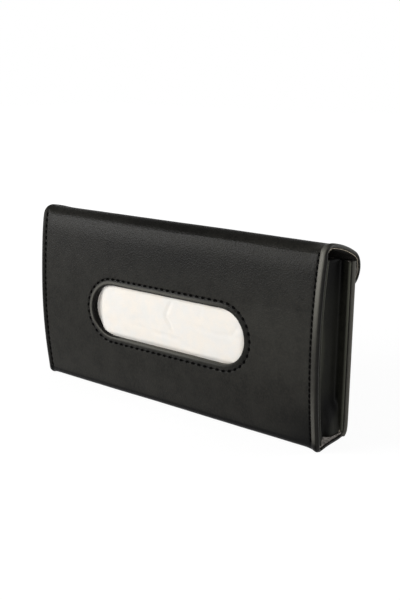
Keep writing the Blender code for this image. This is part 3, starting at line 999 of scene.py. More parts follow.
def lip_painted_light(upper, lower):
    """Light and shade painted on a ring of the lip above and below the window: paler at its left end than at
    its right end.
    """

    def painted_tone(x, s):
        level = upper + (lower - upper) * below_window(s)
        right = past(x, 5, 55)
        return level * (1.1 - 0.95 * right) - 0.3 * right * past(x, 48, 10)

    return painted_tone


def wall_painted_light(x, s):
    """Painted shade makes the opening's wall black at its left end; painted light makes it pale along its
    lower edge.
    """
    left = past(-x, 36, 14)
    return -0.1 - 0.75 * left + 0.5 * below_window(s) * (1 - left)


def leather_hole():
    """Offset from the opening, depth and painted light and shade of each ring of the window's turned edge.
    """
    flat, beside, seam = window_groove(0), window_groove(0.6), window_groove(1)
    # Rings in and beside the window's seam get painted shade; the lip and the wall get painted light and
    # shade from their functions
    rings = [
        (7.0, flat, 0), (5.6, flat, 0), (5.1, window_groove(0.12), 0), (4.75, beside, -0.3),
        (4.3, seam, -0.6), (3.85, beside, -0.3), (3.45, window_lip(0.08), lip_painted_light(-0.2, -0.2)),
        (2.9, window_lip(0.34), lip_painted_light(0.1, -0.1)), (2.2, window_lip(0.46), lip_painted_light(0.42, 0.02)),
        (1.5, window_lip(0.46), lip_painted_light(0.45, 0.15)), (0.9, window_lip(0.36), lip_painted_light(0.1, 0.4)),
        (0.42, window_lip(0.1), lip_painted_light(-0.3, 0.45)), (0.12, window_lip(-0.4), wall_painted_light),
        (0.0, window_wall(1.2, 1.4), wall_painted_light), (0.0, window_wall(2.0, 2.6), wall_painted_light),
        (0.05, window_wall(2.5, 4.2), wall_painted_light), (0.3, window_wall(2.8, 4.9), wall_painted_light),
        (0.8, window_wall(2.8, 4.9), wall_painted_light), (1.1, window_wall(2.4, 4.2), wall_painted_light),
        (1.15, 1.6 * MM, 0), (1.6, 1.05 * MM, 0), (3.0, LEATHER, 0), (6.0, LEATHER, 0),
    ]
    return [(offset * MM, depth, painted_tone) for offset, depth, painted_tone in rings]


def stops_below(close, foot_step):
    """Steps and stops of the rows from the fold to the seam under the bottom, by the window's box."""
    return close, front_s(BOX_TOP), close, front_s(BOX_FOOT), close, START["foot"], foot_step, JOIN_S


def leather_rows():
    """Ways of the front leather's rows, closer together at its seams and at the fold."""
    fold, close = START["front"], 0.8 * MM
    flap = (0, 0.5 * MM, 2 * TIP_ROW, 1.5 * MM, START["ridge"])
    crease_rows = (close, fold - 3 * MM, 0.4 * MM, fold + 1 * MM)
    return spaced(*flap, *crease_rows, *stops_below(close, 0.6 * MM))


def make_front_leather(materials):
    columns, rows = leather_columns(1.6 * MM), leather_rows()
    box = box_of(columns, rows)
    strip = Strip(columns, rows, leather_top, leather_under, leather_hole(), box, wear=leather_painted_light)
    nodes = ("outer_cover", "flap_cover", "window_welt")
    return bend_with_flap(finish_mesh("front_leather", strip.bm, materials, None, nodes))


def make_back_leather(materials):
    heel, back, end = START["heel"], START["back"], START["end"]
    rows = spaced(JOIN_S, 1.6 * MM, heel, 0.6 * MM, back, 1.2 * MM, end - 1 * MM, 0.5 * MM, end)
    strip = Strip(leather_columns(5 * MM), rows, leather_top, leather_under, wear=leather_painted_light)
    return finish_mesh("back_leather", strip.bm, materials, "case", ("outer_cover",))


def lining_depth(x, s):
    share = past(s - START["front"], -3, 6)
    flat = FLAP_LINING_DEPTH + share * (LINING_DEPTH - FLAP_LINING_DEPTH)
    return flat + 0.05 * MM * wander(x, s, 4, 9 * MM)


def lining_under(x, s):
    return lining_depth(x, s) + LINING


def lining_rim(s):
    """Material of the cut edge: cloth under the bottom, thin leather on front and back, raw in the flap."""
    if START["foot"] <= s <= START["heel"]:
        return 0
    return 3 if START["front"] - 4 * MM < s < START["end"] - 2 * MM else 2


def tucked(s):
    """1 where the lining's side edges are tucked under the turned hem, 0 where they are bare."""
    front = past(s - START["front"], 3, 8) * before(s - START["foot"], 0, 3)
    return max(front, past(s - START["heel"], 3, 3))


def lining_columns(step):
    last = END - 0.6 * MM
    side = spaced(BOX_HALF, 4 * MM, last - 6 * MM, 0.8 * MM, last)
    return across(side, step, side)


def lining_painted_light(x, s):
    """1 where light is painted on the lining to make it pale, at the bottom and in the curl; -1 where
    painted shade makes it black.
    """
    low = past(s - START["foot"], -2, 5) * before(s - START["back"], 0, 4)
    curl = 0.22 * before(s - START["crown"], -9, 5)
    ridge = past(s - START["crown"], -13, 5) * before(s - START["foot"], 0, 4)
    high = past(s - START["back"], 70, 20)
    return max(low, curl) - 0.85 * max(ridge, high)


FRAY = 1.1 * MM
TUCK = 6.5 * MM


def fray(strip, seed):
    """Cut edges at both ends wander in and out a little, and are tucked in where the hem covers them."""
    limit = END - 9 * MM
    for vertex in strip.bm.verts:
        x, s = strip.ways[vertex]
        if abs(x) > limit:
            pull = wander(s, x, seed, 2.6 * MM) + 0.6 * wander(s, 0, seed + 1, 0.9 * MM)
            share = (abs(x) - limit) / (END - limit)
            move = FRAY * share**3 * (0.5 + 0.5 * pull) + TUCK * share * tucked(s)
            vertex.co.x -= math.copysign(move, x)


def make_front_lining(materials):
    fold, close = START["front"], 1.6 * MM
    above = (0.1 * MM, close, START["ridge"], 0.7 * MM, fold + 6 * MM)
    columns, rows = lining_columns(4 * MM), spaced(*above, *stops_below(close, 1 * MM))
    offsets = (7 * MM, 3 * MM, 1.7 * MM)
    hole = [(offset, LINING_DEPTH, 0) for offset in offsets]
    hole += [(offset, LINING_DEPTH + LINING, 0) for offset in reversed(offsets)]
    box = box_of(columns, rows)
    strip = Strip(columns, rows, lining_depth, lining_under, hole, box, lining_rim, lining_painted_light)
    fray(strip, 11)
    nodes = ("inner_lining", "flap_lining")
    return bend_with_flap(finish_mesh("front_lining_cloth", strip.bm, materials, None, nodes))


def make_back_lining(materials):
    rows = spaced(JOIN_S, 1.2 * MM, START["heel"], 0.6 * MM, START["back"], 1.6 * MM, START["end"])
    columns = lining_columns(8 * MM)
    strip = Strip(columns, rows, lining_depth, lining_under, rim_kind=lining_rim, wear=lining_painted_light)
    fray(strip, 17)
    return finish_mesh("back_lining_cloth", strip.bm, materials, "case", ("inner_lining",))


def make_flap_board(materials):
    """Thin board between the flap's leather and its lining, from the fold to the curl."""
    half = END - HEM_WIDTH - 2 * MM
    columns = spread(-half, half, 12 * MM)
    rows = spread(START["crown"], START["front"] - 2 * MM, 1.5 * MM)
    strip = Strip(columns, rows, lambda x, s: FLAP_BOARD_DEPTH, lambda x, s: FLAP_BOARD_DEPTH + FLAP_BOARD)
    nodes = ("flap_stiffener",)
    return bend_with_flap(finish_mesh("flap_board", strip.bm, materials, None, nodes))


WALL_X = END - 7 * MM
GUSSET_LEATHER = 0.6 * MM
GUSSET_FOOT = 3.4 * MM
GUSSET_TOP = BACK_TOP - 0.6 * MM
GUSSET_EDGE = END - 0.6 * MM
PINKING = 0.7 * MM

# Share of the folded end's line where its back corner stands
GUSSET_CORNER = 0.745


def smooth_line(points, count):
    """Smooth line through points, with a number of samples on each stretch."""
    line = []
    ends = [2 * points[0] - points[1]] + list(points) + [2 * points[-1] - points[-2]]
    for a, b, c, d in zip(ends, ends[1:], ends[2:], ends[3:]):
        for k in range(count):
            t = k / count
            square = (2 * a - 5 * b + 4 * c - d) * t * t
            line.append(0.5 * (2 * b + (c - a) * t + square + (3 * b - a - 3 * c + d) * t**3))
    return line + [points[-1]]


def gusset_line(height):
    """Top view (x, y) of the right-hand folded end at a height, from its front hem to its back hem."""
    half = GUSSET_LEATHER / 2
    front, back = front_y(height, FLANGE_DEPTH + half), BODY_DEPTH - FLANGE_DEPTH - half
    low = before(height, 27, 16)
    sway = 0.5 * MM * wander(height, 0, 5, 21 * MM)
    push = 2.6 * MM * low + 1.3 * MM * before(height, 16, 13)
    wall, edge = WALL_X + push, GUSSET_EDGE
    seat, rest = front + 1.8 * MM, back - 1.8 * MM
    depth = rest - seat
    corner = rest - 5 * MM * low

    def hem(way, sign):
        """Places round the turned hem of a flange, from inside the case to the flange's outside."""
        offsets = ((4.4, 0), (1.4, 0), (0.35, 0.3), (0, 0.95), (0.5, 1.65))
        return [(edge - x * MM, way + sign * y * MM) for x, y in offsets]

    points = hem(front, 1) + [
        (edge - 2 * MM, seat),
        (WALL_X + 2.2 * MM + 0.5 * push, seat + 0.05 * MM),
        (WALL_X + 0.9 * MM + 0.75 * push, seat + 0.35 * MM),
        (wall, seat + 1.5 * MM),
        (wall - 1.3 * MM + sway, seat + 0.22 * depth),
        (wall - 3.6 * MM + sway, seat + 0.46 * depth),
        (wall - 3.9 * MM, seat + 0.5 * depth),
        (wall - 3.5 * MM + sway, seat + 0.54 * depth),
        (wall - 1.2 * MM + sway, seat + 0.78 * (corner - seat)),
        (wall - 0.1 * MM, corner - 1.6 * MM),
        (wall + 0.8 * MM - 0.2 * push, corner - 0.35 * MM + 0.2 * (rest - corner)),
        (WALL_X + 2.6 * MM + 0.5 * push, rest - 0.06 * MM),
        (edge - 2 * MM, rest),
    ] + hem(back, -1)[::-1]
    return smooth_line([Vector(point) for point in points], 4)


def gusset_reach(share):
    """Foot and top of the folded end at a share of its line: it rises under the ridge at the front."""
    foot = GUSSET_FOOT + 1.6 * MM * bell(share - GUSSET_CORNER, 0.03)
    foot += 0.6 * MM * smooth((share - 0.76) / 0.08)
    foot -= 2.2 * MM * smooth((0.74 - share) / 0.1) * smooth((share - 0.2) / 0.1)
    top = GUSSET_TOP + 5.2 * MM * (1 - smooth((share - 0.22) / 0.3)) + 2.5 * MM * bell(share - 0.6, 0.16)
    return foot, top


def gusset_painted_light(spot, height):
    """Painted light makes it paler at the folded edges and on the back flange, painted shade black deep
    inside and at both ends of the wall.
    """
    behind = past(spot.y - BODY_DEPTH / 2, 0, 4)
    edge = 0.06 + 0.2 * past(height, 40, 50) + 0.3 * behind
    edge *= past(spot.x - END, -1.6, 1)
    flange = -0.5 * behind * before(spot.x - END, -1.6, 0.6)
    wall = 0.24 * bell(height - 58 * MM, 24 * MM) - 0.5 * past(height, 82, 24)
    wall -= 0.8 * before(height, 34, 20)
    return edge + (wall + flange) * before(spot.x - END, -3, 2)


def make_gusset(name, side, materials, stands_for):
    """Folded leather end with a raw, pinked foot; side is 1 at +X and -1 at -X."""
    bm = bmesh.new()
    wear = bm.verts.layers.float.new("wear")
    steps = spaced(0, 0.01, 0.06, 0.014, 0.25, 0.024, 1)
    last = len(gusset_line(GUSSET_TOP)) - 1
    columns = []
    for k in range(last + 1):
        foot, top = gusset_reach(k / last)
        column = []
        for j, step in enumerate(steps):
            height = foot + (top - foot) * step
            line = gusset_line(height)
            along = (line[min(k + 1, last)] - line[max(k - 1, 0)]).normalized()
            inward = Vector((-along.y, along.x))
            flare = 1.3 * MM * bell(k / last - GUSSET_CORNER, 0.03) * smooth(1 - (height - foot) / (5 * MM))
            z = height + (PINKING * (1 if k % 2 else -1) if j == 0 else 0)
            column.append((line[k] - inward * flare, inward, z))
        columns.append(column)
    faces = []
    for shift in (-0.5, 0.5):
        rows = []
        for j in range(len(steps)):
            row = []
            for column in columns:
                point, inward, z = column[j]
                spot = point + inward * GUSSET_LEATHER * shift
                vertex = bm.verts.new((side * spot.x, spot.y + FOLD_Y, z))
                # Light and shade painted into the folded end's colour, kept on each vertex
                vertex[wear] = gusset_painted_light(spot, z)
                row.append(vertex)
            rows.append(row)
        faces.append(rows)

    def kinds(low, high):
        """Raw edge near the back corner of the foot, leather elsewhere."""
        return [2 if low < k / last < high else 0 for k in range(last)]

    for material, rows in enumerate(faces):
        for j, (low, high) in enumerate(zip(rows, rows[1:])):
            bridge(bm, low, high, kinds(0.71, 0.79) if j == 0 and material == 0 else material)

    def outline(rows):
        left, right = [row[0] for row in rows], [row[-1] for row in rows]
        return rows[0] + right[1:] + rows[-1][-2::-1] + left[-2:0:-1]

    outer, inner = outline(faces[0]), outline(faces[1])
    bridge(bm, outer, inner, kinds(0.69, 0.8) + [0] * (len(outer) - last), closed=True)
    return finish_mesh(name, bm, materials, "case", stands_for)


TISSUE_HALF = 100 * MM
TISSUE_FOOT = 4.6 * MM
TISSUE_TOP = 104.2 * MM
TISSUE_DEPTH = 3.3 * MM
TISSUE = 0.3 * MM
TISSUE_SHOWN = 66 * MM
TISSUE_LAYERS = 18
REFILL_DEPTH = 5.9 * MM
REFILL_FOOT = 3.1 * MM
REFILL_BACK = BODY_DEPTH - 3.1 * MM
REFILL_FRONT_STEPS = 24
REFILL_BACK_STEPS = 12

# Creases of the first tissue that show in the window: depth, and both ends as (x, height), all in mm
TISSUE_CREASES = (
    (1.0, (5, 74), (0, 63)), (0.9, (0, 63), (6, 55)), (0.3, (-28, 51.5), (-19, 51)),
    (0.6, (-10, 50.5), (11, 49)), (0.4, (20, 60.5), (57, 58.5)), (0.45, (58, 67), (52, 58.5)),
    (0.2, (29, 74), (27, 65)), (0.2, (12, 47), (30, 44)),
)


def tissue_sag(x, height):
    """How far the first tissue hangs back behind the panel: close to the lip, far back at the left end."""
    up = 1 - past(abs(height - WINDOW_CENTRE), 14, 20)
    left = past(-x, 55, 6) * past(x, -84, 18)
    inside = WINDOW_HEIGHT / 2 - abs(height - WINDOW_CENTRE)
    inside = min(inside, (WINDOW_LENGTH / 2 - abs(x)) * 0.6)
    bulge = past(inside, -0.4, 3) * past(x, -62, 12)
    return (1.0 * left * up - 1.3 * bulge) * MM


def crease(x, height, start, end):
    """Narrow valley along a line, deepest in its middle, 1 at most."""
    first = Vector(start)
    bend = Vector((wander(x, height, 25, 11 * MM), wander(x, height, 26, 9 * MM)))
    spot = Vector((x, height)) / MM + 1.4 * bend
    line = Vector(end) - first
    share = (spot - first).dot(line) / line.length_squared
    if not -0.2 < share < 1.2:
        return 0.0
    off = (spot - first - line * share).length
    return bell(off, 1.5) * smooth((share + 0.2) / 0.5) * smooth((1.2 - share) / 0.5)


def tissue_ripple(x, height):
    """Soft folds down the tissue, fine crumples and a few creases, in metres."""
    lean = x + 0.3 * height
    folds = 0.42 * wander(lean, height * 0.35, 21, 13 * MM) + 0.24 * wander(x, height, 22, 6.5 * MM)
    sharp = sum(depth * crease(x, height, start, end) for depth, start, end in TISSUE_CREASES)
    return (folds + sharp) * MM


def make_first_tissue(materials):
    """The tissue that shows in the window: one thin, creased sheet."""
    front = STRETCHES["front"]

    def top(x, s):
        height = front.at(s - START["front"], 0)[0].y
        return TISSUE_DEPTH + tissue_sag(x, height) + 0.8 * tissue_ripple(x, height)

    wide, close = 2.5 * MM, 0.9 * MM
    columns = spaced(-TISSUE_HALF, wide, -TISSUE_SHOWN, close, TISSUE_SHOWN, wide, TISSUE_HALF)
    heights = (TISSUE_TOP, 80 * MM, 37 * MM, TISSUE_FOOT)
    high, first, last, low = [front_s(height) for height in heights]
    rows = spaced(high, wide, first, close, last, wide, low)
    strip = Strip(columns, rows, top, lambda x, s: top(x, s) + TISSUE)
    obj = finish_mesh("first_tissue", strip.bm, materials, "case", ("front_tissue",))
    return obj


def refill_row(x):
    """Outline (y, z) of the refill at a place along it: up its front, over the folds, down and back."""
    row = []
    for k in range(REFILL_FRONT_STEPS + 1):
        height = TISSUE_FOOT + (TISSUE_TOP - TISSUE_FOOT) * k / REFILL_FRONT_STEPS
        row.append((front_y(height, REFILL_DEPTH + 0.35 * MM * wander(x, height, 31, 20 * MM)), height))
    first = front_y(TISSUE_TOP, REFILL_DEPTH)
    for k in range(TISSUE_LAYERS * 4 + 1):
        share = k / (TISSUE_LAYERS * 4)
        round_fold = abs(math.sin(HALF_TURN * share * TISSUE_LAYERS)) ** 0.6
        layer = int(min(share * TISSUE_LAYERS, TISSUE_LAYERS - 0.01))
        lift = 0.6 * (0.9 * wander(x, layer * 9.7, 33, 40 * MM) - 1.2) * MM
        row.append((first + share * (REFILL_BACK - first), TISSUE_TOP - 0.9 * MM * (1 - round_fold) + lift))
    for k in range(1, REFILL_BACK_STEPS):
        height = TISSUE_TOP + (REFILL_FOOT - TISSUE_TOP) * k / REFILL_BACK_STEPS
        row.append((REFILL_BACK - 0.3 * MM * abs(wander(x, height, 34, 18 * MM)), height))
    first = front_y(TISSUE_FOOT, REFILL_DEPTH)
    for k in range(TISSUE_LAYERS * 2 + 1):
        share = 1 - k / (TISSUE_LAYERS * 2)
        row.append((first + share * (REFILL_BACK - first), REFILL_FOOT + 0.4 * MM * (k % 2)))
    return row


def make_folded_tissues(materials):
    """The refill: a block of folded tissues whose folds show along its top and bottom."""
    bm = bmesh.new()
    inner = TISSUE_HALF - 4 * MM
    columns = spaced(-TISSUE_HALF, 1 * MM, -inner, 6 * MM, inner, 1 * MM, TISSUE_HALF)
    rows = [[bm.verts.new((x, y + FOLD_Y, z)) for y, z in refill_row(x)] for x in columns]
    for first, second in zip(rows, rows[1:]):
        bridge(bm, first, second, 0, closed=True)
    for row in (rows[0], rows[-1]):
        middle = bm.verts.new(sum((v.co for v in row), Vector()) / len(row))
        for k, vertex in enumerate(row):
            bm.faces.new((vertex, row[(k + 1) % len(row)], middle))
    return finish_mesh("folded_tissues", bm, materials, "case", ("tissue_stack",))


BAND_CENTRE = END - 57 * MM
BAND_HALF = 10 * MM
BAND_FOOT = 11 * MM
BAND_TOP = section_at(0.0)[0].y - 6 * MM
BAND_THICKNESS = 1.2 * MM
BAND_RIBS = 13
RIB_POINTS = 4
BAND_BOW = 0.55 * MM
BAND_WAIST = 0.02
BAND_SEAM_INSET = 3 * MM
BAND_SEAM_TALL = 10 * MM


def off_ends(height, end, fade):
    """1 in the free middle of a band, 0 within end of where it stops, with a soft step of length fade."""
    return smooth((height - BAND_FOOT - end) / fade) * smooth((BAND_TOP - end - height) / fade)


def band_rise(height):
    """How far a band stands off the back: flat where it is sewn, slightly bowed between."""
    return SHEET_GAP + BAND_BOW * off_ends(height, 15 * MM, 12 * MM)


def band_loop(height):
    """Outline (x, y) of a band at a height: its ribs across the outside, then back along its inner side."""
    half = BAND_HALF * (1 - BAND_WAIST * off_ends(height, 16 * MM, 15 * MM))
    base = BODY_DEPTH + band_rise(height)
    count = BAND_RIBS * RIB_POINTS
    loop = []
    for k in list(range(count + 1)) + list(range(count, -1, -RIB_POINTS)):
        share = 2 * k / count - 1
        edge = 1 - smooth((abs(share) - 0.94) / 0.06)
        rib = abs(math.sin(HALF_TURN * k / RIB_POINTS)) ** 0.7
        outside = 0.45 + 0.4 * edge + 0.15 * rib * edge
        rise = outside if len(loop) <= count else 0.25 * (1 - edge)
        loop.append((share * half, base + BAND_THICKNESS * rise))
    return loop


def make_band(name, side, materials, stands_for):
    """Flat woven elastic with ribs along it, sewn to the back at both its ends."""
    bm = bmesh.new()
    first, last = BAND_FOOT + 14 * MM, BAND_TOP - 14 * MM
    rows = []
    for height in spaced(BAND_FOOT, 1 * MM, first, 3 * MM, last, 1 * MM, BAND_TOP):
        loop = band_loop(height)
        rows.append([bm.verts.new((side * BAND_CENTRE + x, y + FOLD_Y, height)) for x, y in loop])
    for first, second in zip(rows, rows[1:]):
        bridge(bm, first, second, 0, closed=True)
    for row in (rows[0], rows[-1]):
        bm.faces.new(row)
    return finish_mesh(name, bm, materials, "case", stands_for)


class Tree(Graph):
    """A Geometry Nodes tree, with its named inputs."""

    def __init__(self, name, inputs):
        super().__init__(bpy.data.node_groups.new(name, "GeometryNodeTree"))
        face = self.tree.interface
        face.new_socket("Geometry", in_out="INPUT", socket_type="NodeSocketGeometry")
        for label, kind, default in inputs:
            socket = face.new_socket(label, in_out="INPUT", socket_type="NodeSocket" + kind)
            if default is not None:
                socket.default_value = default
        face.new_socket("Geometry", in_out="OUTPUT", socket_type="NodeSocketGeometry")
        self.entry = self.tree.nodes.new("NodeGroupInput")

    def given(self, label):
        """Wire from one of the tree's own inputs."""
        return Wire(self, self.entry.outputs[label])

    def xyz(self, x=0.0, y=0.0, z=0.0):
        return self.node("ShaderNodeCombineXYZ", {}, {"X": x, "Y": y, "Z": z})

    def vectors(self, name):
        """The points' own vector attribute of a name."""
        return self.node("GeometryNodeInputNamedAttribute", {"data_type": "FLOAT_VECTOR"}, {"Name": name})

    def random(self, low, high, seed):
        made = self.tree.nodes.new("FunctionNodeRandomValue")
        made.data_type = "FLOAT"
        lowest, highest = [socket for socket in made.inputs if socket.enabled][:2]
        self.feed(lowest, low)
        self.feed(highest, high)
        self.feed(made.inputs["Seed"], seed)
        return Wire(self, next(socket for socket in made.outputs if socket.enabled))

    def end(self, geometry):
        """Real faces, smooth, in the given material."""
        real = self.node("GeometryNodeRealizeInstances", {}, {"Geometry": geometry})
        smoothed = self.node("GeometryNodeSetShadeSmooth", {}, {"Geometry": real})
        sockets = {"Geometry": smoothed, "Material": self.given("Material")}
        painted = self.node("GeometryNodeSetMaterial", {}, sockets)
        self.feed(self.tree.nodes.new("NodeGroupOutput").inputs["Geometry"], painted)
        return self.tree


# How far a stitch's ends dip, and how far the rows on the flap and along its tip sink in
STITCH_DIP = 0.4 * MM
FLAP_SINK = 0.2 * MM
TIP_SINK = 0.25 * MM

# Share of a band's thickness at which its stitches lie
BAND_SEAT = 0.95


def stitch_tree():
    """One plump stitch on every point, lying along the seam, its ends dipping into the needle holes."""
    inputs = [
        ("Stitch length", "Float", 2.4 * MM), ("Thread width", "Float", 0.7 * MM),
        ("Dip", "Float", STITCH_DIP), ("Slant", "Float", 0.12), ("Unevenness", "Float", 0.05),
        ("Seed", "Int", 4), ("Material", "Material", None),
    ]
    tree = Tree("Stitches", inputs)
    length, width = tree.given("Stitch length"), tree.given("Thread width")
    ball = tree.node("GeometryNodeMeshUVSphere", {}, {"Segments": 8, "Rings": 7, "Radius": 0.5})
    lying = tree.node("GeometryNodeTransform", {}, {"Geometry": ball, "Rotation": (0, math.radians(90), 0)})
    size = tree.xyz(length, width, width)
    long = tree.node("GeometryNodeTransform", {}, {"Geometry": lying, "Scale": size})
    x = tree.node("ShaderNodeSeparateXYZ", {}, {0: tree.node("GeometryNodeInputPosition")}, output="X")
    share = x / (length * 0.5)
    down = tree.xyz(z=share * share * tree.given("Dip") * -1.0)
    stitch = tree.node("GeometryNodeSetPosition", {}, {"Geometry": long, "Offset": down})
    axes = {"primary_axis": "Z", "secondary_axis": "X"}
    facing = tree.node("FunctionNodeAxesToRotation", axes, {0: tree.vectors("out"), 1: tree.vectors("way")})
    slant, uneven = tree.given("Slant"), tree.given("Unevenness")
    angle = tree.random(slant - uneven, slant + uneven, tree.given("Seed"))
    turn = tree.node("FunctionNodeAxisAngleToRotation", {}, {"Axis": (0, 0, 1), "Angle": angle})
    sockets = {"Rotation": facing, "Rotate By": turn}
    turned = tree.node("FunctionNodeRotateRotation", {"rotation_space": "LOCAL"}, sockets)
    sockets = {"Points": tree.given("Geometry"), "Instance": stitch, "Rotation": turned}
    return tree.end(tree.node("GeometryNodeInstanceOnPoints", {}, sockets))


def grown(name, points, attributes, tree, inputs):
    """Plain mesh object from a Geometry Nodes tree run on loose points with vector attributes."""
    mesh = bpy.data.meshes.new(name)
    mesh.from_pydata([tuple(point) for point in points], [], [])
    for key, values in attributes.items():
        layer = mesh.attributes.new(key, "FLOAT_VECTOR", "POINT")
        layer.data.foreach_set("vector", [c for value in values for c in value])
    seed = linked(name + "_points", mesh)
    modifier = seed.modifiers.new("Grow", "NODES")
    modifier.node_group = tree
    sockets = {item.name: item.identifier for item in tree.interface.items_tree if item.in_out == "INPUT"}
    for label, value in inputs.items():
        modifier[sockets[label]] = value
    graph = bpy.context.evaluated_depsgraph_get()
    result = bpy.data.meshes.new_from_object(seed.evaluated_get(graph))
    seed.modifiers.remove(modifier)
    bpy.data.objects.remove(seed, do_unlink=True)
    result.name = name
    return linked(name, result)


def sewn(x, s, sink=0.0):
    """Place of a stitch's middle, on the leather or sunk in a little."""
    return place(x, s, softness(x, s) + fold_sag(x, s) + sink)


def side_spots(x, run):
    """Middle, outward direction and way of each stitch of a side seam."""
    first, _, pitch, count = seams_beside(x)[run]
    sink = FLAP_SINK if run == "flap" else 0.0
    spots = []
    for i in range(count):
        s = first + (i + 0.5) * pitch
        normal = outward(s)
        spots.append((sewn(x, s, sink), normal, Vector((1, 0, 0)).cross(normal)))
    return spots


def window_spots():
    """Middle, outward direction and way of each stitch round the window."""
    length, height, pitch, count = window_seam_way()
    middle = front_s(WINDOW_CENTRE)
    spots = []
    for i in range(count):
        point, out = oval_point(length, height, (i + 0.5) * pitch)
        x, s = point.x, middle - point.y
        along = (place(x - 0.1 * out.y * MM, s - 0.1 * out.x * MM) - place(x, s)).normalized()
        spots.append((sewn(x, s), outward(s), along))
    return spots


def tip_spots():
    """Middle, outward direction and way of each stitch along the flap's tip."""
    half = END - TIP_INSET
    places = [-half + 2 * half * (i + 0.5) / TIP_COUNT for i in range(TIP_COUNT)]
    return [(sewn(x, TIP_ROW, TIP_SINK), outward(TIP_ROW), Vector((1, 0, 0))) for x in places]


def band_spots(side):
    """Stitches of the rectangle that sews down each end of a band."""
    spots = []
    half, tall = BAND_HALF - BAND_SEAM_INSET, BAND_SEAM_TALL
    for low in (BAND_FOOT + BAND_SEAM_INSET, BAND_TOP - BAND_SEAM_INSET - tall):
        corners = [(-half, low), (half, low), (half, low + tall), (-half, low + tall)]
        for (x0, z0), (x1, z1) in zip(corners, corners[1:] + corners[:1]):
            count = round(math.hypot(x1 - x0, z1 - z0) / BAND_PITCH)
            along = Vector((x1 - x0, 0, z1 - z0)).normalized()
            for i in range(count):
                share = (i + 0.5) / count
                x, z = x0 + (x1 - x0) * share, z0 + (z1 - z0) * share
                y = BODY_DEPTH + band_rise(z) + BAND_THICKNESS * BAND_SEAT
                spots.append((Vector((side * BAND_CENTRE + x, y + FOLD_Y, z)), Vector((0, 1, 0)), along))
    return spots


def make_stitches(name, spots, sizes, materials, body, stands_for):
    """Row of stitches of a (length, width, slant); one without a body is left without one, its placement
    baked in.
    """
    length, width, slant = sizes
    inputs = {"Stitch length": length, "Thread width": width, "Slant": slant}
    inputs.update({"Dip": STITCH_DIP, "Seed": len(name), "Material": materials[0]})
    attributes = {"out": [out for _, out, _ in spots], "way": [way for _, _, way in spots]}
    tree = bpy.data.node_groups.get("Stitches") or stitch_tree()
    obj = grown(name, [spot for spot, _, _ in spots], attributes, tree, inputs)
    if body:
        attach(obj, body)
    else:
        bend_with_flap(obj)
    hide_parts(*stands_for)
    return obj


def colour_property(label, words, default):
    return bpy.props.FloatVectorProperty(
        name=label, description=words, subtype="COLOR", size=3, min=0.0, max=1.0, default=default
    )


def number_property(label, words, default, unit="NONE", least=0.0):
    return bpy.props.FloatProperty(name=label, description=words, default=default, min=least, unit=unit)


def size_property(label, words, default):
    return number_property(label, words, default, "LENGTH", 0.2 * MM)


def lamp_property(label, words, default):
    return number_property(label, words, default, "POWER")


class CaseLooks(bpy.types.PropertyGroup):
    """Colours of the case and sizes of its stitches."""

    leather: colour_property("Leather", "Colour of the black leather", (0.0142, 0.0138, 0.012))
    gusset: colour_property("Folded ends", "Colour of the ends' thin leather", (0.0095, 0.0097, 0.0074))
    lining: colour_property("Lining", "Colour of the lining cloth", (0.035, 0.032, 0.022))
    # Paler colour that painted light gives the lining cloth
    paler_cloth: colour_property("Brushed lining", "Colour of the lining brushed up", (0.5, 0.46, 0.43))
    raw_edge: colour_property("Cut edges", "Colour of the lining's bare cut edges", (0.5, 0.44, 0.35))
    tissue: colour_property("Tissue", "Colour of the tissues", (0.87, 0.837, 0.79))
    thread: colour_property("Thread", "Colour of the sewing thread", (0.003, 0.003, 0.003))
    elastic: colour_property("Elastic", "Colour of the bands on the back", (0.016, 0.016, 0.017))
    board: colour_property("Board", "Colour of the boards inside", (0.28, 0.25, 0.2))
    magnet: colour_property("Closure strips", "Colour of the magnet strips", (0.05, 0.045, 0.04))
    thread_width: size_property("Thread width", "Width of the thread on the back", 1.05 * MM)
    side_thread: size_property("Side thread width", "Width of the thread along the sides", 1.25 * MM)
    window_thread: size_property("Window thread width", "Width of the thread round the window", 1.65 * MM)
    side_stitch: size_property("Side stitch", "Length of the stitches along the sides", 2.9 * MM)
    window_stitch: size_property("Window stitch", "Length of the stitches round the window", 2.75 * MM)
    back_stitch: size_property("Back stitch", "Length of the stitches on the back panel", 3.6 * MM)
    band_stitch: size_property("Band stitch", "Length of the stitches on the elastic bands", 2.5 * MM)


class StageLooks(bpy.types.PropertyGroup):
    """Floor, lamps and camera of the stage."""

    floor: colour_property("Floor", "Colour of the floor", (0.9, 0.9, 0.9))
    floor_size: size_property("Floor size", "Side of the floor", 8.0)
    floor_light: number_property("Floor light", "Light that reaches the open floor", 0.5)
    sky: number_property("Sky", "Strength of the even light all round", 0.46)
    overhead: number_property("Overhead", "Strength of the light straight above", 0.15)
    key: lamp_property("Key lamp", "Power of the lamp at the front left", 15.5)
    fill: lamp_property("Fill lamp", "Power of the lamp at the front right", 2.6)
    rear: lamp_property("Rear lamp", "Power of the lamp at the back right", 6.0)
    lens: number_property("Lens", "Focal length in millimetres", 53.92, "CAMERA", 1.0)


THIN_LEATHER = {"roughness": 0.5, "grain": 0.7, "specular": 0.1}

# Finishes by kind: what makes one, its name, the colour it takes and anything else it needs
FINISHES = {
    "leather": (leather_material, "black_leather_grain", "leather", {}),
    "gusset": (leather_material, "thin_leather_grain", "gusset", THIN_LEATHER),
    "backing": (backing_material, "lining_cloth", "lining", {}),
    "raw_edge": (backing_material, "cut_edge", "raw_edge", {}),
    "tissue": (tissue_material, "soft_tissue", "tissue", {}),
    "thread": (thread_material, "black_thread", "thread", {}),
    "elastic": (webbing_material, "woven_elastic", "elastic", {}),
    "board": (board_material, "fibre_board", "board", {}),
    "magnet": (magnet_material, "magnet_rubber", "magnet", {}),
}


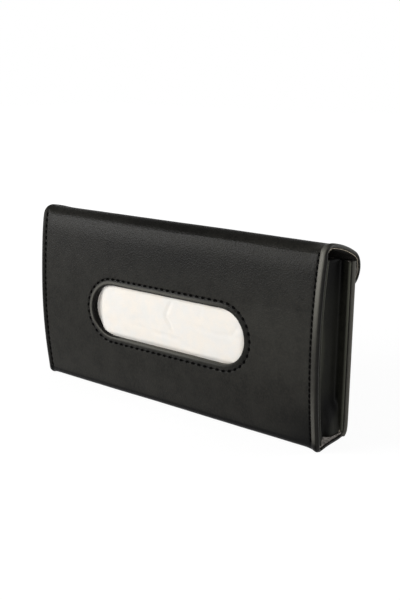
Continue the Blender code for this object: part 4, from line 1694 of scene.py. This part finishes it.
def finish_of(kind):
    """Material of a kind, made once."""
    looks = bpy.context.scene.case_looks
    make, name, colour, more = FINISHES[kind]
    if kind == "backing":
        more = {"pale": tuple(looks.paler_cloth)}
    return bpy.data.materials.get(name) or make(name, tuple(getattr(looks, colour)), **more)


def finishes(*kinds):
    return [finish_of(kind) for kind in kinds]


class MakeLeather(bpy.types.Operator):
    """Leather of the front, the flap, the bottom and the back"""

    bl_idname = "tissue_case.leather"
    bl_label = "Leather"
    bl_options = {"REGISTER", "UNDO"}

    def execute(self, context):
        materials = finishes("leather", "backing", "leather")
        make_front_leather(materials)
        make_back_leather(materials)
        return {"FINISHED"}


class MakeLining(bpy.types.Operator):
    """Lining cloth and the board inside the flap"""

    bl_idname = "tissue_case.lining"
    bl_label = "Lining"
    bl_options = {"REGISTER", "UNDO"}

    def execute(self, context):
        materials = finishes("backing", "backing", "raw_edge", "gusset")
        make_front_lining(materials)
        make_back_lining(materials)
        make_flap_board(finishes("board"))
        return {"FINISHED"}


class MakeEnds(bpy.types.Operator):
    """Folded leather ends"""

    bl_idname = "tissue_case.ends"
    bl_label = "Folded ends"
    bl_options = {"REGISTER", "UNDO"}

    def execute(self, context):
        materials = finishes("gusset", "backing", "raw_edge")
        make_gusset("left_folded_end", -1, materials, ("left_gusset",))
        make_gusset("right_folded_end", 1, materials, ("right_gusset",))
        return {"FINISHED"}


class MakeTissues(bpy.types.Operator):
    """First tissue and the folded refill behind it"""

    bl_idname = "tissue_case.tissues"
    bl_label = "Tissues"
    bl_options = {"REGISTER", "UNDO"}

    def execute(self, context):
        make_folded_tissues(finishes("tissue"))
        make_first_tissue(finishes("tissue", "tissue", "tissue"))
        return {"FINISHED"}


class MakeBands(bpy.types.Operator):
    """Elastic bands across the back"""

    bl_idname = "tissue_case.bands"
    bl_label = "Elastic bands"
    bl_options = {"REGISTER", "UNDO"}

    def execute(self, context):
        make_band("left_band_webbing", -1, finishes("elastic"), ("left_elastic_band",))
        make_band("right_band_webbing", 1, finishes("elastic"), ("right_elastic_band",))
        return {"FINISHED"}


class MakeStitches(bpy.types.Operator):
    """Every row of stitches"""

    bl_idname = "tissue_case.stitches"
    bl_label = "Stitches"
    bl_options = {"REGISTER", "UNDO"}

    def execute(self, context):
        looks, thread = context.scene.case_looks, finishes("thread")
        left, right = seam_x(-1), seam_x(1)
        wrap = [spot for x in (left, right) for run in ("flap", "front") for spot in side_spots(x, run)]
        nodes = ("left_front_seam", "right_front_seam", "flap_seam")
        sizes = (looks.side_stitch, looks.side_thread, 0.2)
        make_stitches("side_stitches", wrap + tip_spots(), sizes, thread, None, nodes)
        back = side_spots(left, "back") + side_spots(right, "back")
        nodes = ("left_back_seam", "right_back_seam")
        sizes = (looks.back_stitch, looks.thread_width, 0.06)
        make_stitches("back_stitches", back, sizes, thread, "case", nodes)
        sizes = (looks.window_stitch, looks.window_thread, 0.12)
        make_stitches("window_stitches", window_spots(), sizes, thread, "case", ("window_seam",))
        sizes = (looks.band_stitch, looks.thread_width, 0.0)
        for word, side in (("left", -1), ("right", 1)):
            nodes = (word + "_band_foot_thread", word + "_band_top_thread")
            make_stitches(word + "_band_stitches", band_spots(side), sizes, thread, "case", nodes)
        return {"FINISHED"}


class FinishHidden(bpy.types.Operator):
    """Finishes of the boards and closure strips that stay as the frame has them"""

    bl_idname = "tissue_case.hidden"
    bl_label = "Boards and closure strips"
    bl_options = {"REGISTER", "UNDO"}

    def execute(self, context):
        for name, node in frame["nodes"].items():
            for kind in ("board", "magnet"):
                if kind in name:
                    node.data.materials.clear()
                    node.data.materials.append(finish_of(kind))
        return {"FINISHED"}


CAMERA_SPOT = (0.36423, -0.44201, 0.21517)
CAMERA_AIM = (-0.6043, 0.7578, -0.2462)
CAMERA_ROLL = math.radians(0.51)
SENSOR_WIDTH = 36
CLIP_START = 0.01
FLOOR_HEIGHT = -0.9 * MM
FLOOR_WHITE = 0.82
WHITE = (1, 1, 1)

# Lamps by name: place, size and the setting that holds the power; all look at the middle of the case
LAMPS = {
    "key_lamp": ((-0.85, -1.0, 0.56), (0.9, 0.55), "key"),
    "fill_lamp": ((0.75, -0.85, 0.3), (0.5, 0.5), "fill"),
    "rear_lamp": ((0.9, 0.95, 0.55), (0.8, 0.6), "rear"),
}
LAMP_TARGET = (0, 0, 0.06)


def aimed(obj, location, target, roll=0.0):
    """Puts a lamp or camera at a place, looking at another; a positive roll lifts the view's right side."""
    forward = (Vector(target) - Vector(location)).normalized()
    obj.location = location
    obj.rotation_mode = "QUATERNION"
    obj.rotation_quaternion = forward.to_track_quat("-Z", "Y") @ Quaternion((0, 0, 1), roll)


def make_lamp(name, location, size, power):
    data = bpy.data.lights.new(name, "AREA")
    data.shape = "RECTANGLE"
    data.size, data.size_y = size
    data.energy = power
    aimed(linked(name, data), location, LAMP_TARGET)


def make_camera(lens):
    data = bpy.data.cameras.new("camera")
    data.sensor_width = SENSOR_WIDTH
    data.lens = lens
    data.clip_start = CLIP_START
    camera = linked("camera", data)
    aimed(camera, CAMERA_SPOT, Vector(CAMERA_SPOT) + Vector(CAMERA_AIM), CAMERA_ROLL)
    bpy.context.scene.camera = camera


def seen_directly(recipe):
    """1 for rays that look straight at the background, or see it in a gloss or through glass."""
    kinds = ("Is Camera Ray", "Is Glossy Ray", "Is Transmission Ray")
    return recipe.largest(*[recipe.node("ShaderNodeLightPath", output=kind) for kind in kinds])


def floor_material(colour, light):
    """Pale floor; straight on or in a gloss it shows white, a little darker in the object's shadow."""
    recipe = new_recipe("pale_floor")
    speck = recipe.noise(20 * MM, 3.0)
    recipe.finish(base_color=recipe.blend(speck, toned(colour, 0.99), colour), roughness=0.9 + 0.05 * speck)
    away = recipe.node("ShaderNodeVectorMath", {"operation": "LENGTH"}, {0: recipe.place()}, output="Value")
    white = FLOOR_WHITE + (1 - FLOOR_WHITE) * recipe.band(away, 0.35, 1.1)
    strength = (1 - (1 - FLOOR_WHITE) * colour[0] * light) / FLOOR_WHITE
    glow = recipe.node("ShaderNodeEmission", {}, {"Color": WHITE, "Strength": strength})
    lit = Wire(recipe, recipe.tree.nodes["Principled BSDF"].outputs["BSDF"])
    shown = recipe.node("ShaderNodeMixShader", {}, {0: seen_directly(recipe) * white, 1: lit, 2: glow})
    recipe.feed(recipe.tree.nodes["Material Output"].inputs["Surface"], shown)
    return recipe.owner


def make_floor(size, material):
    bm = bmesh.new()
    corners = [(x * size / 2, y * size / 2) for x, y in ((-1, -1), (1, -1), (1, 1), (-1, 1))]
    bm.faces.new([bm.verts.new((x, y, FLOOR_HEIGHT)) for x, y in corners])
    mesh = bpy.data.meshes.new("floor")
    bm.to_mesh(mesh)
    bm.free()
    mesh.materials.append(material)
    linked("floor", mesh)


def make_sky(level, overhead):
    """White where it is looked at; in a gloss white at the horizon and dimmer overhead, as in a studio."""
    bpy.context.scene.world = bpy.data.worlds.new("plain_sky")
    recipe = Recipe(bpy.context.scene.world)
    height = recipe.node("ShaderNodeSeparateXYZ", {}, {0: recipe.place("Generated")}, output="Z")
    high = recipe.band(height, 0.1, 0.55)
    camera = recipe.node("ShaderNodeLightPath", output="Is Camera Ray")
    even = level + (overhead - level) * high
    gloss = 1 + (overhead - 1) * high * (1 - camera)
    background = recipe.tree.nodes["Background"]
    recipe.feed(background.inputs["Color"], WHITE)
    recipe.feed(background.inputs["Strength"], even + (gloss - even) * seen_directly(recipe))


class MakeStage(bpy.types.Operator):
    """Floor, light, background and camera"""

    bl_idname = "tissue_case.stage"
    bl_label = "Stage"
    bl_options = {"REGISTER", "UNDO"}

    def execute(self, context):
        looks = context.scene.stage_looks
        context.scene.view_settings.view_transform = "Standard"
        make_floor(looks.floor_size, floor_material(tuple(looks.floor), looks.floor_light))
        make_sky(looks.sky, looks.overhead)
        for name, (location, size, power) in LAMPS.items():
            make_lamp(name, location, size, getattr(looks, power))
        make_camera(looks.lens)
        return {"FINISHED"}


class CASE_PT_panel(bpy.types.Panel):
    """Buttons and settings of the tissue case"""

    bl_label = "Tissue case"
    bl_space_type = "VIEW_3D"
    bl_region_type = "UI"
    bl_category = "Tissue case"

    def draw(self, context):
        for operator in OPERATORS:
            self.layout.operator(operator.bl_idname)
        for group in (context.scene.case_looks, context.scene.stage_looks):
            for key in group.bl_rna.properties.keys():
                if key not in ("rna_type", "name"):
                    self.layout.prop(group, key)


OPERATORS = (
    MakeLeather, MakeLining, MakeEnds, MakeTissues, MakeBands, MakeStitches, FinishHidden, MakeStage,
)
CLASSES = (CaseLooks, StageLooks) + OPERATORS + (CASE_PT_panel,)


def register():
    for made in CLASSES:
        bpy.utils.register_class(made)
    bpy.types.Scene.case_looks = bpy.props.PointerProperty(type=CaseLooks)
    bpy.types.Scene.stage_looks = bpy.props.PointerProperty(type=StageLooks)


def unregister():
    del bpy.types.Scene.stage_looks
    del bpy.types.Scene.case_looks
    for made in reversed(CLASSES):
        bpy.utils.unregister_class(made)


def main():
    """Runs every operator in turn."""
    register()
    for operator in OPERATORS:
        group, name = operator.bl_idname.split(".")
        getattr(getattr(bpy.ops, group), name)()


if __name__ == "__main__":
    main()
